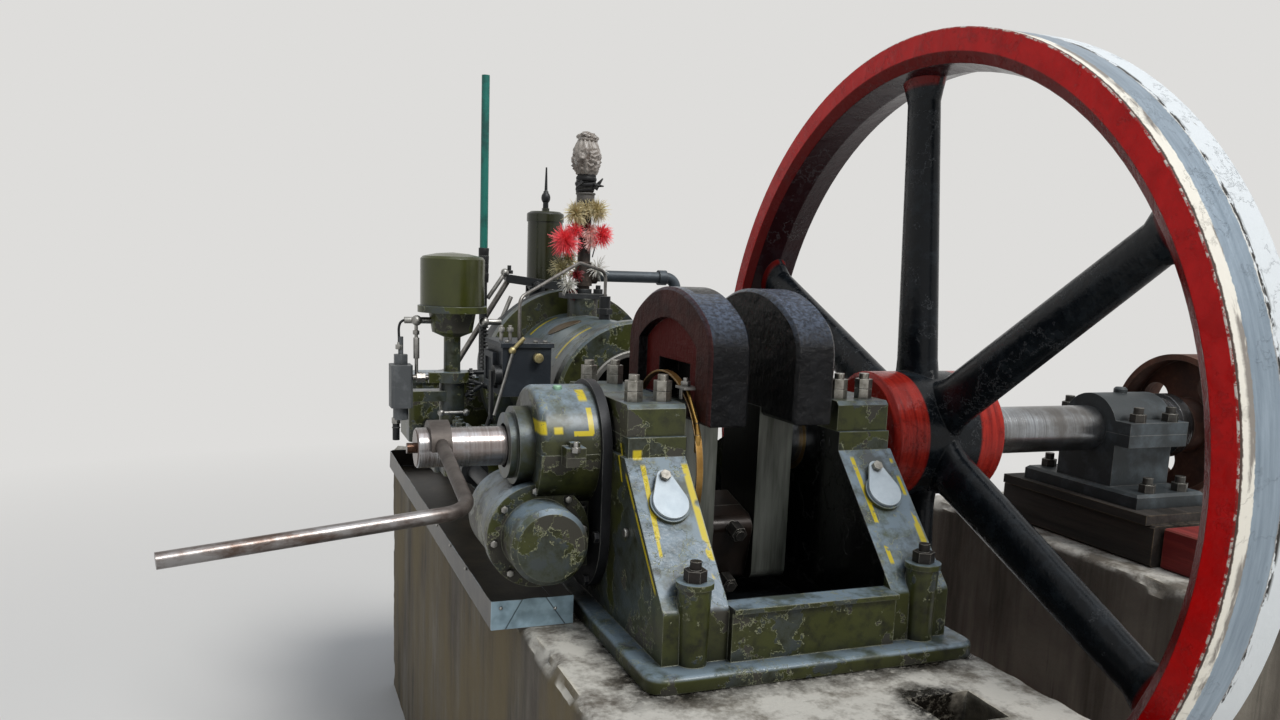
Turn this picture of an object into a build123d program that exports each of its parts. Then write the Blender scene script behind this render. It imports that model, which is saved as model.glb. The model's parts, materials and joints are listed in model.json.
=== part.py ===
"""Horizontal single-cylinder open-crank diesel engine on its concrete plinth, with its outboard bearing.

Frame in millimetres: +X along the crankshaft towards the flywheel, +Y from the crank to the cylinder
head, +Z up. The origin is on the ground, under the point where crank and cylinder axes cross.
"""

import os
from itertools import pairwise
from math import asin, cos, degrees, radians, sin

from build123d import *

os.makedirs("parts", exist_ok=True)

# Concrete plinth
plinth_height = 830.0
plinth_left = -400.0
plinth_right = 305.0
plinth_front = -750.0
plinth_back = 1630.0
plinth_chamfer = 14.0
pocket_width = 105.0
pocket_length = 90.0
pocket_depth = 75.0
pocket_x = 130.0
pocket_y = -560.0

# Crankshaft
journal_radius = 50.0
outboard_radius = 49.0
shaft_nose_radius = 45.0
shaft_nose_x = 1240.0
gear_seat_radius = 38.0
stub_radius = 34.0
stub_end_x = -566.0
stub_shoulder_x = -390.0
shaft_end_x = 1290.0
shaft_chamfer = 3.0
centre_pin_radius = 9.0
centre_pin_length = 14.0
crank_throw = 190.0
pin_radius = 42.0
web_inner_x = 41.0
web_thickness = 70.0
web_half_width = 72.0
web_top = 70.0
web_tip_overhang = 67.0
web_corner = 20.0

# Counterweights, bolted over the top ends of the webs
weight_inner_x = 43.0
weight_thickness = 76.0
weight_radius = 280.0
weight_half_width = 190.0
weight_foot = 55.0
weight_corner = 80.0
weight_edge = 6.0
weight_border = 55.0
weight_foot_border = 24.0
weight_recess = 18.0
weight_window_top = 148.0
weight_window_depth = 40.0

# Oil ring: a thin hoop on the left counterweight, a little off the shaft's centre
ring_radius = 163.0
ring_wall = 3.0
ring_width = 12.0
ring_offset_y = -22.0
ring_offset_z = -31.0
ring_arm_width = 48.0
ring_arm_height = 26.0

# Bed casting
bed_half_width = 290.0
bed_front = -405.0
bed_back = 990.0
flange_thickness = 24.0
flange_corner = 30.0
wall_inner_x = 146.0
wall_outer_x = 255.0
toe_front = -360.0
toe_top = -195.0
neck_half_length = 172.0
neck_bottom = 5.0
neck_top = 38.0
cradle_front = 430.0
cradle_back = 940.0
cradle_top = -120.0
deck_top = -195.0
pit_clearance = 35.0
pit_floor_thickness = 8.0
pit_floor = -crank_throw - web_tip_overhang - pit_clearance
bed_height = pit_floor_thickness - pit_floor
shaft_z = plinth_height + bed_height
rail_front = -372.0
rail_thickness = 40.0
rail_top = -190.0
rail_lip = 8.0
cast_radius = 14.0

# Main bearings
bearing_inner_x = 146.0
bearing_length = 103.0
brass_radius = 62.0
running_clearance = 0.05
cap_top = 91.0
cap_half_length = 164.0
cap_chamfer = 7.0
stud_radius = 9.0
stud_y = 120.0
stud_spacing = 52.0
stud_depth = 90.0
stud_stand = 45.0
nut_width = 27.0
nut_height = 17.0
nut_gap = 1.0

# Foundation bolts in their bosses
boss_x = 204.0
boss_y = -356.0
boss_foot_radius = 23.0
boss_top_radius = 26.0
boss_lip_radius = 29.0
boss_lip_height = 9.0
boss_top = -147.0
rear_boss_y = 900.0
rear_boss_x = 271.0
foundation_radius = 9.0
foundation_nut_width = 31.0
foundation_nut_height = 18.0
foundation_stand = 31.0
foundation_depth = 33.0

# Swing covers on the sloped faces
cover_x = 200.0
cover_from_top = 94.0
cover_radius = 30.0
cover_rise = 3.0
pivot_rise = 49.0
pivot_end_radius = 13.0
pivot_ear_margin = 2.0
cover_thickness = 5.0
rim_height = 8.0
rim_radius = 34.0
well_radius = 22.0
well_depth = 30.0
cover_bolt_radius = 6.0
cover_bolt_width = 16.0
cover_bolt_head = 8.0
cover_bolt_depth = 18.0
cover_gap = 0.3

# Gear case round the left end of the shaft, and the side shaft it drives
case_plate_thickness = 17.0
case_plate_radius = 114.0
case_radius = 105.0
case_left_x = -375.0
case_bore_gap = 0.5
side_shaft_x = -368.0
side_shaft_drop = 145.0
drum_radius = 65.0
drum_front = -150.0
drum_flange_front = -72.0
drum_flange_back = -45.0
drum_flange_radius = 90.0
drum_body_radius = 84.0
drum_body_back = 110.0
case_box_back = 88.0
case_box_depth = 67.0
lug_width = 34.0
lug_reach = 26.0
lug_thickness = 16.0
lug_root = 12.0
case_edge_radius = 12.0
case_bolt_inset = 4.0
case_lower_bolt_inset = 14.0
drum_chamfer = 8.0
small_bolt_width = 17.0
small_bolt_height = 8.0
seal_radius = 68.0
seal_face_radius = 57.0
seal_length = 27.0
seal_face_length = 13.0
side_shaft_radius = 16.0
seat_gap = 0.3

# Cylinder
mouth_y = 450.0
mouth_radius = 190.0
mouth_length = 42.0
jacket_radius = 178.0
jacket_back = 1000.0
jacket_step = 8.0
mouth_chamfer = 6.0
boss_root = 10.0
head_flange_radius = 240.0
head_flange_thickness = 40.0
liner_radius = 125.0
bore_radius = 108.0
liner_proud = 10.0
liner_chamfer = 3.0
liner_lead = 4.0
liner_lead_length = 12.0
foot_half_width = 128.0
foot_thickness = 40.0
piston_front = 610.0
piston_length = 230.0
piston_gap = 0.3
piston_chamfer = 3.0
head_radius = 186.0
head_back = 1335.0
head_cover_radius = 140.0
head_cover_length = 28.0
head_stud_circle = 214.0
head_stud_count = 8
head_nut_width = 32.0
head_nut_height = 26.0
head_stud_radius = 10.0
head_stud_tip = 16.0
head_corner = 14.0
head_cover_taper = 8.0

# Cooling water outlet, stack and branch
outlet_y = 870.0
outlet_boss_radius = 40.0
outlet_face = 222.0
outlet_flange_length = 118.0
outlet_flange_width = 78.0
outlet_flange_thickness = 13.0
outlet_bolt_spacing = 84.0
outlet_corner = 16.0
outlet_bolt_radius = 6.5
outlet_nut_width = 22.0
outlet_nut_height = 12.0
outlet_bolt_stand = 22.0
outlet_collar = 12.0
outlet_top = outlet_face + outlet_flange_thickness
stack_foot = outlet_top + outlet_collar
stack_radius = 17.0
stack_bore = 13.5
stack_top = 600.0
tee_clearance = 8.0
tee_radius = 23.0
tee_length = 62.0
tee_rise = 4.0
tee_height = stack_foot + tee_clearance + tee_length / 2 - tee_rise
tee_arm_radius = 21.0
tee_arm = 12.0
branch_radius = 15.0
branch_bore = 11.5
branch_end_x = 264.0
elbow_radius = 20.0
elbow_bend = 30.0
elbow_drop = 52.0
elbow_socket = 22.0

# Wrapped top of the stack
wrap_overlap = 60.0
wrap_radius = 38.0
wrap_height = 50.0
wrap_skin = 5.0
wrap_neck_radius = 21.0
wrap_knot_radius = 28.0

# Air filter
filter_y = 1255.0
filter_pipe_radius = 26.0
filter_base = 255.0
filter_radius = 52.0
filter_height = 205.0
filter_rod_radius = 4.0
filter_rod_length = 65.0
filter_corner = 5.0
filter_lid_bottom = 30.0
filter_lid_top = 8.0
filter_lid_reach = 3.0
filter_nut_width = 20.0
filter_nut_height = 10.0
head_clearance = 40.0

# Rocker and push rods
rocker_x = -50.0
rocker_y = 1168.0
rocker_height = 243.0
rocker_hub_radius = 21.0
rocker_hub_length = 64.0
rocker_clear_radius = 28.0
rocker_post_width = 46.0
rocker_arm_width = 30.0
rocker_tip_x = -128.0
rocker_tip_height = 262.0
rocker_nose_x = 24.0
rocker_nose_height = 244.0
rocker_tip_radius = 12.0
push_rod_radius = 8.0
push_rod_foot_x = -298.0
valve_stem_radius = 9.0
rocker_pin_radius = 9.0
rocker_side_gap = 2.0
push_rod_cup_radius = 20.0
push_rod_cup_height = 16.0
valve_root = 12.0
valve_collar_drop = 18.0
valve_collar_radius = 15.0
valve_collar_height = 6.0
valve_guide_radius = 17.0
valve_guide_height = 24.0

# Cam box on the left of the head
cam_box_left = -420.0
cam_box_front = 1100.0
cam_box_back = 1290.0
cam_box_bottom = -195.0
cam_box_top = -15.0
cam_box_reach = -150.0
cam_lid = 14.0
cam_lid_reach = 6.0
cam_box_corner = 14.0
cam_box_clearance = 20.0

# Side shaft bearing
side_bearing_y = 650.0
side_bearing_length = 74.0
side_bearing_half_width = 40.0
side_bearing_bottom = -188.0
side_bearing_top = -78.0
side_bearing_chamfer = 14.0
side_bolt_radius = 6.0
side_bolt_width = 22.0
side_nut_height = 14.0
side_bolt_stand = 22.0

# Governor
governor_x = -370.0
governor_y = 735.0
governor_box_half = 48.0
governor_box_bottom = -195.0
governor_box_top = -90.0
governor_box_corner = 12.0
governor_post_radius = 30.0
governor_collar_radius = 42.0
governor_collar_bottom = 20.0
governor_collar_top = 45.0
governor_column_radius = 20.0
governor_neck_bottom = 128.0
governor_neck_radius = 56.0
governor_neck_step = 12.0
governor_neck_taper = 8.0
governor_flange_bottom = 187.0
governor_flange_radius = 82.0
governor_flange_top = 203.0
governor_drum_radius = 76.0
governor_drum_height = 116.0
governor_dome = 10.0
governor_drum_edge = 6.0
bracket_height = 60.0
bracket_width = 50.0

# Fuel pump beside the governor
pump_x = -492.0
pump_width = 50.0
pump_length = 60.0
pump_bottom = -40.0
pump_top = 62.0
pump_nut_radius = 15.0
pump_nut_height = 24.0
pump_pipe_radius = 6.0
pump_pipe_height = 42.0
pump_chamfer = 6.0
pump_foot_radius = 18.0
pump_foot_height = 30.0
link_radius = 6.0
link_y = 713.0
link_height = 33.0
link_lug_x = -430.0
link_lug_width = 16.0
turnbuckle_radius = 10.0
turnbuckle_length = 20.0

# Mechanical lubricator
lubricator_left = -312.0
lubricator_right = -202.0
lubricator_front = 455.0
lubricator_back = 600.0
lubricator_bottom = 20.0
lubricator_top = 128.0
lubricator_lid = 10.0
lubricator_lid_reach = 5.0
glass_frame_depth = 12.0
glass_frame_margin = 14.0
lubricator_post_x = -232.0
lubricator_post_inset = 40.0
drive_y = 472.0
drive_height = 66.0
drive_disc_radius = 22.0
drive_disc_length = 16.0
drive_lever_width = 16.0
drive_lever_thickness = 8.0
drive_lever_foot = -30.0
drive_rod_radius = 5.0
strap_radius = 30.0
strap_length = 20.0

# Oil pipe and its check valve on the cylinder
valve_y = 690.0
valve_radius = 14.0
valve_height = 235.0
valve_nut_drop = 44.0
valve_nut_width = 34.0
valve_nut_height = 14.0
oil_pipe_radius = 4.0
oil_pipe_rise = 95.0
oil_pipe_arch = 60.0
oil_pipe_crest = 20.0
oil_pipe_bend = 24.0

# Drip tray
tray_left = -452.0
tray_right = -308.0
tray_front = -88.0
tray_back = 1280.0
tray_height = 50.0
tray_sheet = 2.0

# Breather pipe
breather_x = -210.0
breather_y = 1135.0
breather_radius = 11.0
breather_black_top = 250.0
breather_top = 810.0
breather_sleeve_radius = 14.0
breather_sleeve_length = 90.0
breather_collar_radius = 18.0
breather_collar_height = 12.0
breather_wall = 3.0
breather_bore_depth = 60.0

# Connecting rod
rod_length = 760.0
rod_half_thickness = 39.5
rod_half_height = 68.0
rod_cap_depth = 60.0
rod_neck = 112.0
rod_shank_radius = 30.0
rod_stub = 225.0
rod_bolt_radius = 9.0
rod_bolt_offset = 54.0
rod_nut_width = 26.0
rod_nut_height = 14.0
rod_bolt_tip = 92.0
rod_corner = 24.0
rod_chamfer = 4.0

# Flywheel
wheel_radius = 762.0
wheel_left_x = 368.0
wheel_width = 134.0
rim_face = 40.0
rim_bevel = 20.0
rim_bevel_width = 13.0
rim_bulge = 10.0
wheel_crown = 2.0
hub_left_x = 304.0
hub_right_x = 560.0
hub_radius = 125.0
hub_edge = 10.0
spoke_count = 6
spoke_start_angle = 25.0
spoke_root_width = 98.0
spoke_root_thickness = 66.0
spoke_tip_width = 76.0
spoke_tip_thickness = 54.0
spoke_root_radius = 105.0
spoke_tip_radius = wheel_radius - rim_face
spoke_flare = 40.0
spoke_flare_width = 132.0
spoke_flare_thickness = 70.0
spoke_root_flare = 45.0
spoke_root_flare_width = 122.0

# Starting handle
handle_x = -528.0
handle_band_width = 34.0
handle_band_thickness = 12.0
handle_leg = 280.0
handle_drop = 40.0
handle_grip_x = -934.0
handle_grip_y = -350.0
handle_grip_drop = 65.0
handle_rod_radius = 11.0
handle_bend_radius = 45.0

# Outboard pier and its packing
pier_left = 800.0
pier_right = 1235.0
pier_half_length = 450.0
pier_drop = 250.0
timber_left = 865.0
timber_right = 1075.0
timber_half_length = 215.0
timber_height = 85.0
timber_chamfer = 5.0
board_left = 852.0
board_right = 1090.0
board_half_length = 205.0
board_thickness = 20.0
block_left = 885.0
block_right = 985.0
block_front = -310.0
block_back = -222.0
block_height = 82.0
block_chamfer = 3.0

# Outboard bearing
outboard_left = 885.0
outboard_right = 1045.0
outboard_half_width = 76.0
outboard_foot_left = 872.0
outboard_foot_right = 1058.0
outboard_foot_half_length = 160.0
outboard_foot_thickness = 30.0
outboard_ear = 36.0
outboard_ear_thickness = 26.0
outboard_bolt_y = 95.0
outboard_bolt_spacing = 90.0
outboard_foot_bolt_y = 138.0
oil_cup_radius = 14.0
oil_cup_height = 12.0
oil_cup_sink = 4.0
outboard_chamfer = 6.0
outboard_nut_width = 29.0
outboard_nut_height = 17.0
outboard_stud_radius = 10.0
outboard_stud_stand = 31.0

# Collars and pulley on the outboard end
collar_left = 1052.0
collar_step_x = 1082.0
collar_right = 1108.0
collar_radius = 62.0
collar_step_radius = 72.0
pulley_left = 1125.0
pulley_width = 110.0
pulley_radius = 160.0
pulley_rim = 13.0
pulley_web = 16.0
pulley_hub_radius = 62.0
pulley_hole_count = 4
pulley_hole_start_angle = 30.0
pulley_hole_radius = 34.0
pulley_hole_circle = 104.0

# Places that follow from the sizes above
crank_axis = Axis((0, 0, shaft_z), (1, 0, 0))
cylinder_axis = Axis((0, 0, shaft_z), (0, 1, 0))
side_shaft_z = shaft_z - side_shaft_drop
side_axis = Axis((side_shaft_x, 0, side_shaft_z), (0, 1, 0))
rod_angle = degrees(asin(crank_throw / rod_length))
pin_centre = Vector(0, 0, shaft_z - crank_throw)
rod_direction = Vector(0, cos(radians(rod_angle)), sin(radians(rod_angle)))
rod_plane = Plane(origin=pin_centre, x_dir=rod_direction, z_dir=(1, 0, 0))
slope = Vector(0, -neck_half_length - toe_front, neck_bottom - toe_top)
slope_up = slope.normalized()
slope_normal = Vector(1, 0, 0).cross(slope_up)
wall_side = bearing_inner_x + bearing_length
stud_xs = [bearing_inner_x + (bearing_length + side * stud_spacing) / 2 for side in (-1, 1)]


def cover_face(side):
    """Plane on a sloped face, centred under its swing cover: local y runs up the slope."""
    on_slope = Vector(0, -neck_half_length, neck_bottom + shaft_z) - slope_up * cover_from_top
    return Plane(origin=on_slope + Vector(side * cover_x, 0, 0), x_dir=(1, 0, 0), z_dir=slope_normal)


def cover_pivot(side):
    """Plane on a sloped face, centred on the pivot of its swing cover."""
    face = cover_face(side)
    return Plane(origin=face.origin + slope_up * pivot_rise, x_dir=(1, 0, 0), z_dir=slope_normal)


def crossing(x):
    """Plane across the crankshaft at x: local x is +Y, local y is +Z, measured from its axis."""
    return Plane(origin=(x, 0, shaft_z), x_dir=(0, 1, 0), z_dir=(1, 0, 0))


def level(z, x=0.0, y=0.0):
    """Level plane at height z above the crank axis, centred on x, y."""
    return Plane.XY.offset(shaft_z + z).move(Location((x, y, 0)))


def upright(x, y):
    """Vertical axis through x, y."""
    return Axis((x, y, shaft_z), (0, 0, 1))


def turned(axis, outline, mode=Mode.ADD):
    """Revolve an outline of (distance along the axis, radius) about the axis."""
    normal = Vector(0, -1, 0) if abs(axis.direction.Z) > 0.5 else Vector(0, 0, 1)
    with BuildSketch(Plane(origin=axis.position, x_dir=axis.direction, z_dir=normal)) as profile:
        with BuildLine():
            Polyline(*outline, close=True)
        make_face()
    revolve(profile.sketch, axis=axis, mode=mode)


def block(low, high, mode=Mode.ADD):
    """Rectangular block between two corners, heights measured from the crank axis."""
    with BuildSketch(level(low[2])) as profile:
        with Locations(((low[0] + high[0]) / 2, (low[1] + high[1]) / 2)):
            Rectangle(high[0] - low[0], high[1] - low[1])
    extrude(profile.sketch, amount=high[2] - low[2], mode=mode)


def disc(place, radius, length, mode=Mode.ADD):
    """Round bar on a plane, along its normal."""
    with BuildSketch(place) as profile:
        Circle(radius)
    extrude(profile.sketch, amount=length, mode=mode)


def hexagon(place, across_flats, height):
    """Hexagonal nut or bolt head on a plane, along its normal."""
    with BuildSketch(place) as profile:
        RegularPolygon(across_flats / 2, 6, major_radius=False, rotation=30)
    extrude(profile.sketch, amount=height)


def bar(start, end, radius):
    """Round bar between two points."""
    run = Vector(*end) - Vector(*start)
    disc(Plane(origin=start, z_dir=run), radius, run.length)


def save(piece, name):
    """Label a finished piece and write its file."""
    piece.part.label = name
    export_step(piece.part, f"parts/{name}.step")


# Concrete plinth with chipped edges and an oil pocket in front of the bed
with BuildPart() as engine_plinth:
    with BuildSketch():
        with Locations(((plinth_left + plinth_right) / 2, (plinth_front + plinth_back) / 2)):
            Rectangle(plinth_right - plinth_left, plinth_back - plinth_front)
    extrude(amount=plinth_height)
    chamfer(engine_plinth.faces().sort_by(Axis.Z)[-1].edges(), plinth_chamfer)
    with BuildSketch(Plane.XY.offset(plinth_height)):
        with Locations((pocket_x, pocket_y)):
            Rectangle(pocket_width, pocket_length)
    extrude(amount=-pocket_depth, mode=Mode.SUBTRACT)
save(engine_plinth, "engine_plinth")

# Separate concrete pier under the outboard bearing
with BuildPart() as outboard_pier:
    with BuildSketch():
        with Locations(((pier_left + pier_right) / 2, 0)):
            Rectangle(pier_right - pier_left, 2 * pier_half_length)
    extrude(amount=shaft_z - pier_drop)
    chamfer(outboard_pier.faces().sort_by(Axis.Z)[-1].edges(), plinth_chamfer)
save(outboard_pier, "outboard_pier")

# Oiled timber beam and board that pack the bearing to height
timber_top = timber_height - pier_drop
with BuildPart() as pier_timber:
    block(
        (timber_left, -timber_half_length, -pier_drop),
        (timber_right, timber_half_length, timber_top),
    )
    chamfer(pier_timber.edges().filter_by(Axis.Y), timber_chamfer)
save(pier_timber, "pier_timber")

board_top = timber_top + board_thickness
with BuildPart() as pier_board:
    block((board_left, -board_half_length, timber_top), (board_right, board_half_length, board_top))
save(pier_board, "pier_board")

# Spare packing block lying on the pier
with BuildPart() as pier_block:
    block((block_left, block_front, -pier_drop), (block_right, block_back, block_height - pier_drop))
    chamfer(pier_block.edges().filter_by(Axis.Y), block_chamfer)
save(pier_block, "pier_block")

# Bed casting: base flange, two side walls that rise to the bearings, front rail and cylinder cradle
with BuildPart() as bed_frame:
    with BuildSketch(level(-bed_height)):
        with Locations((0, (bed_front + bed_back) / 2)):
            RectangleRounded(2 * bed_half_width, bed_back - bed_front, flange_corner)
    extrude(amount=flange_thickness)
    fillet(bed_frame.faces().sort_by(Axis.Z)[-1].edges(), flange_thickness / 3)
    for side in (-1, 1):
        with BuildSketch(crossing(side * wall_inner_x)) as wall_outline:
            with BuildLine():
                Polyline(
                    (toe_front, flange_thickness - bed_height),
                    (toe_front, toe_top),
                    (-neck_half_length, neck_bottom),
                    (neck_half_length, neck_bottom),
                    (cradle_front, cradle_top),
                    (cradle_back, cradle_top),
                    (cradle_back, flange_thickness - bed_height),
                    close=True,
                )
            make_face()
            corners = wall_outline.vertices().group_by(Axis.Y)
            fillet(corners[1] + corners[2], cast_radius)
        extrude(amount=side * (wall_outer_x - wall_inner_x))
        with BuildSketch(crossing(side * bearing_inner_x)):
            with Locations((0, (neck_bottom - cast_radius + neck_top) / 2)):
                Rectangle(2 * neck_half_length, neck_top - neck_bottom + cast_radius)
        extrude(amount=side * bearing_length)
        with BuildSketch(level(flange_thickness - bed_height, side * boss_x, boss_y)):
            Circle(boss_foot_radius)
        with BuildSketch(level(boss_top - boss_lip_height, side * boss_x, boss_y)):
            Circle(boss_top_radius)
        loft()
        disc(level(boss_top, side * boss_x, boss_y), boss_lip_radius, -boss_lip_height)
    block(
        (-wall_inner_x, rail_front, pit_floor),
        (wall_inner_x, rail_front + rail_thickness, rail_top),
    )
    block(
        (-wall_inner_x, rail_front - rail_lip, rail_top - rail_lip),
        (wall_inner_x, rail_front, rail_top),
    )
    block((-wall_inner_x, cradle_front, pit_floor), (wall_inner_x, cradle_back, deck_top))
    block(
        (-wall_inner_x, rail_front + rail_thickness, pit_floor),
        (wall_inner_x, cradle_front, flange_thickness - bed_height + 1),
        mode=Mode.SUBTRACT,
    )
    # Cradle bored for the cylinder and its mouth ring
    turned(
        cylinder_axis,
        [
            (mouth_y - seat_gap, 0),
            (mouth_y - seat_gap, mouth_radius + seat_gap),
            (bed_back, mouth_radius + seat_gap),
            (bed_back, 0),
        ],
        mode=Mode.SUBTRACT,
    )
    for side in (-1, 1):
        # Bearing seat, half round below and open above
        with BuildSketch(crossing(side * (wall_inner_x - 1))):
            Circle(brass_radius)
            with Locations((0, brass_radius)):
                Rectangle(2 * brass_radius, 2 * brass_radius)
        extrude(amount=side * (wall_outer_x - wall_inner_x + 2), mode=Mode.SUBTRACT)
        for x in stud_xs:
            for y in (-stud_y, stud_y):
                disc(level(neck_top, side * x, y), stud_radius, -stud_depth, Mode.SUBTRACT)
        disc(level(boss_top, side * boss_x, boss_y), foundation_radius, -foundation_depth, Mode.SUBTRACT)
        # Raised rim and oil well under the swing cover, and the ear of its pivot bolt
        face = cover_face(side)
        with BuildSketch(face):
            with Locations((0, cover_rise)):
                Circle(rim_radius)
            with Locations((0, pivot_rise)):
                Circle(pivot_end_radius - pivot_ear_margin)
        extrude(amount=rim_height)
        disc(face.offset(rim_height), well_radius, -well_depth - rim_height, Mode.SUBTRACT)
        disc(cover_pivot(side).offset(rim_height), cover_bolt_radius, -cover_bolt_depth, Mode.SUBTRACT)
save(bed_frame, "bed_frame")

# Main bearing caps over the two necks
for side, name in ((-1, "main_cap_left"), (1, "main_cap_right")):
    with BuildPart() as main_cap:
        with BuildSketch(crossing(side * bearing_inner_x)) as cap_outline:
            with Locations((0, (neck_top + cap_top) / 2)):
                Rectangle(2 * cap_half_length, cap_top - neck_top)
            chamfer(cap_outline.vertices().group_by(Axis.Y)[-1], cap_chamfer)
        extrude(amount=side * bearing_length)
        disc(crossing(side * bearing_inner_x), brass_radius, side * bearing_length, Mode.SUBTRACT)
        for x in stud_xs:
            for y in (-stud_y, stud_y):
                disc(level(neck_top, side * x, y), stud_radius, cap_top, Mode.SUBTRACT)
    save(main_cap, name)

# Bearing brasses round the two main journals
with BuildPart() as main_brasses:
    for side in (-1, 1):
        with BuildSketch(crossing(side * bearing_inner_x)):
            Circle(brass_radius)
            Circle(journal_radius + running_clearance, mode=Mode.SUBTRACT)
        extrude(amount=side * bearing_length)
save(main_brasses, "main_brasses")

# Studs that hold the caps, each with two nuts
with BuildPart() as cap_studs:
    for side in (-1, 1):
        for x in stud_xs:
            for y in (-stud_y, stud_y):
                stud_foot = level(neck_top - stud_depth, side * x, y)
                disc(stud_foot, stud_radius, stud_depth - neck_top + cap_top + stud_stand)
                for seat in (cap_top, cap_top + nut_height + nut_gap):
                    hexagon(level(seat, side * x, y), nut_width, nut_height)
save(cap_studs, "cap_studs")

# Foundation bolts through the front bosses and the back of the flange
with BuildPart() as foundation_bolts:
    flange_top = flange_thickness - bed_height
    for side in (-1, 1):
        for x, y, seat, depth in (
            (boss_x, boss_y, boss_top, foundation_depth),
            (rear_boss_x, rear_boss_y, flange_top, 0),
        ):
            disc(level(seat - depth, side * x, y), foundation_radius, depth + foundation_stand)
            hexagon(level(seat, side * x, y), foundation_nut_width, foundation_nut_height)
save(foundation_bolts, "foundation_bolts")

# Crankshaft: two flat webs with the pin between them, and a shaft turned in steps
with BuildPart() as crankshaft:
    web_outer_x = web_inner_x + web_thickness
    turned(
        crank_axis,
        [
            (stub_end_x, 0),
            (stub_end_x, stub_radius - shaft_chamfer),
            (stub_end_x + shaft_chamfer, stub_radius),
            (stub_shoulder_x, stub_radius),
            (stub_shoulder_x, gear_seat_radius),
            (-wall_side, gear_seat_radius),
            (-wall_side, journal_radius),
            (-web_outer_x, journal_radius),
            (-web_outer_x, 0),
        ],
    )
    turned(
        crank_axis,
        [
            (web_outer_x, 0),
            (web_outer_x, journal_radius),
            (wall_side, journal_radius),
            (wall_side, outboard_radius),
            (shaft_nose_x, outboard_radius),
            (shaft_nose_x, shaft_nose_radius),
            (shaft_end_x - shaft_chamfer, shaft_nose_radius),
            (shaft_end_x, shaft_nose_radius - shaft_chamfer),
            (shaft_end_x, 0),
        ],
    )
    disc(crossing(stub_end_x), centre_pin_radius, -centre_pin_length)
    for side in (-1, 1):
        with BuildSketch(crossing(side * web_inner_x)) as web_outline:
            with Locations((0, (web_top - crank_throw - web_tip_overhang) / 2)):
                Rectangle(2 * web_half_width, web_top + crank_throw + web_tip_overhang)
            fillet(web_outline.vertices().group_by(Axis.Y)[0], web_corner)
        extrude(amount=side * web_thickness)
    with BuildSketch(crossing(-web_inner_x)):
        with Locations((0, -crank_throw)):
            Circle(pin_radius)
    extrude(amount=2 * web_inner_x)
save(crankshaft, "crankshaft")

# Counterweights: flat-sided arches with a slot that the web's end fills
for side, name in ((-1, "counterweight_left"), (1, "counterweight_right")):
    with BuildPart() as counterweight:
        with BuildSketch(crossing(side * weight_inner_x)) as weight_outline:
            with Locations((0, (weight_radius + weight_foot) / 2)):
                Rectangle(2 * weight_half_width, weight_radius - weight_foot)
            Circle(weight_radius, mode=Mode.INTERSECT)
            fillet(weight_outline.vertices().group_by(Axis.Y)[1], weight_corner)
        extrude(amount=side * weight_thickness)
        chamfer(counterweight.faces().sort_by(Axis.X)[0].edges(), weight_edge)
        chamfer(counterweight.faces().sort_by(Axis.X)[-1].edges(), weight_edge)
        with BuildSketch(crossing(side * (weight_inner_x - 1))):
            with Locations((0, (weight_foot - 1 + web_top) / 2)):
                Rectangle(2 * web_half_width, web_top - weight_foot + 1)
        extrude(amount=side * (weight_thickness + 2), mode=Mode.SUBTRACT)
        # Recess in the outer face, and the deeper window over the web's end
        weight_outer_x = side * (weight_inner_x + weight_thickness)
        recess_top = weight_radius - weight_border
        recess_foot = weight_foot + weight_foot_border
        with BuildSketch(crossing(weight_outer_x)):
            with Locations((0, (recess_foot + recess_top) / 2)):
                Rectangle(2 * (weight_half_width - weight_border), recess_top - recess_foot)
            Circle(recess_top, mode=Mode.INTERSECT)
        extrude(amount=-side * weight_recess, mode=Mode.SUBTRACT)
        with BuildSketch(crossing(weight_outer_x)):
            with Locations((0, (web_top + weight_window_top) / 2)):
                Rectangle(2 * web_half_width, weight_window_top - web_top)
        extrude(amount=-side * (weight_recess + weight_window_depth), mode=Mode.SUBTRACT)
    save(counterweight, name)

# Brass oil ring with its arm down to the crank pin
with BuildPart() as oil_ring:
    ring_x = -weight_inner_x - weight_thickness
    with BuildSketch(crossing(ring_x)):
        with Locations((ring_offset_y, ring_offset_z)):
            Circle(ring_radius)
            Circle(ring_radius - ring_wall, mode=Mode.SUBTRACT)
    extrude(amount=-ring_width)
    arm_foot = ring_offset_z - ring_radius - ring_arm_height / 2
    block(
        (ring_x - ring_width, ring_offset_y / 2 - ring_arm_width / 2, arm_foot),
        (-web_outer_x, ring_offset_y / 2 + ring_arm_width / 2, arm_foot + ring_arm_height),
    )
save(oil_ring, "oil_ring")

# Connecting rod's big end on the crank pin: rod half with a stub of the shank, cap and bolts
with BuildPart() as rod_big_end:
    with BuildSketch(rod_plane) as rod_outline:
        with BuildLine():
            Polyline(
                (0, -rod_half_height),
                (0, rod_half_height),
                (rod_cap_depth, rod_half_height),
                (rod_neck, rod_shank_radius),
                (rod_neck, -rod_shank_radius),
                (rod_cap_depth, -rod_half_height),
                close=True,
            )
        make_face()
    extrude(amount=rod_half_thickness, both=True)
    neck_plane = Plane(origin=pin_centre + rod_direction * rod_neck, z_dir=rod_direction)
    disc(neck_plane, rod_shank_radius, rod_stub - rod_neck)
    chamfer(rod_big_end.edges().sort_by(Axis.Y)[-1], rod_chamfer)
    with BuildSketch(rod_plane):
        Circle(pin_radius + running_clearance)
    extrude(amount=rod_half_thickness + 1, both=True, mode=Mode.SUBTRACT)
    for offset_side in (-1, 1):
        start = pin_centre + rod_plane.y_dir * offset_side * rod_bolt_offset - rod_direction
        disc(Plane(origin=start, z_dir=rod_direction), rod_bolt_radius, rod_cap_depth + 2, Mode.SUBTRACT)
save(rod_big_end, "rod_big_end")

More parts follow.
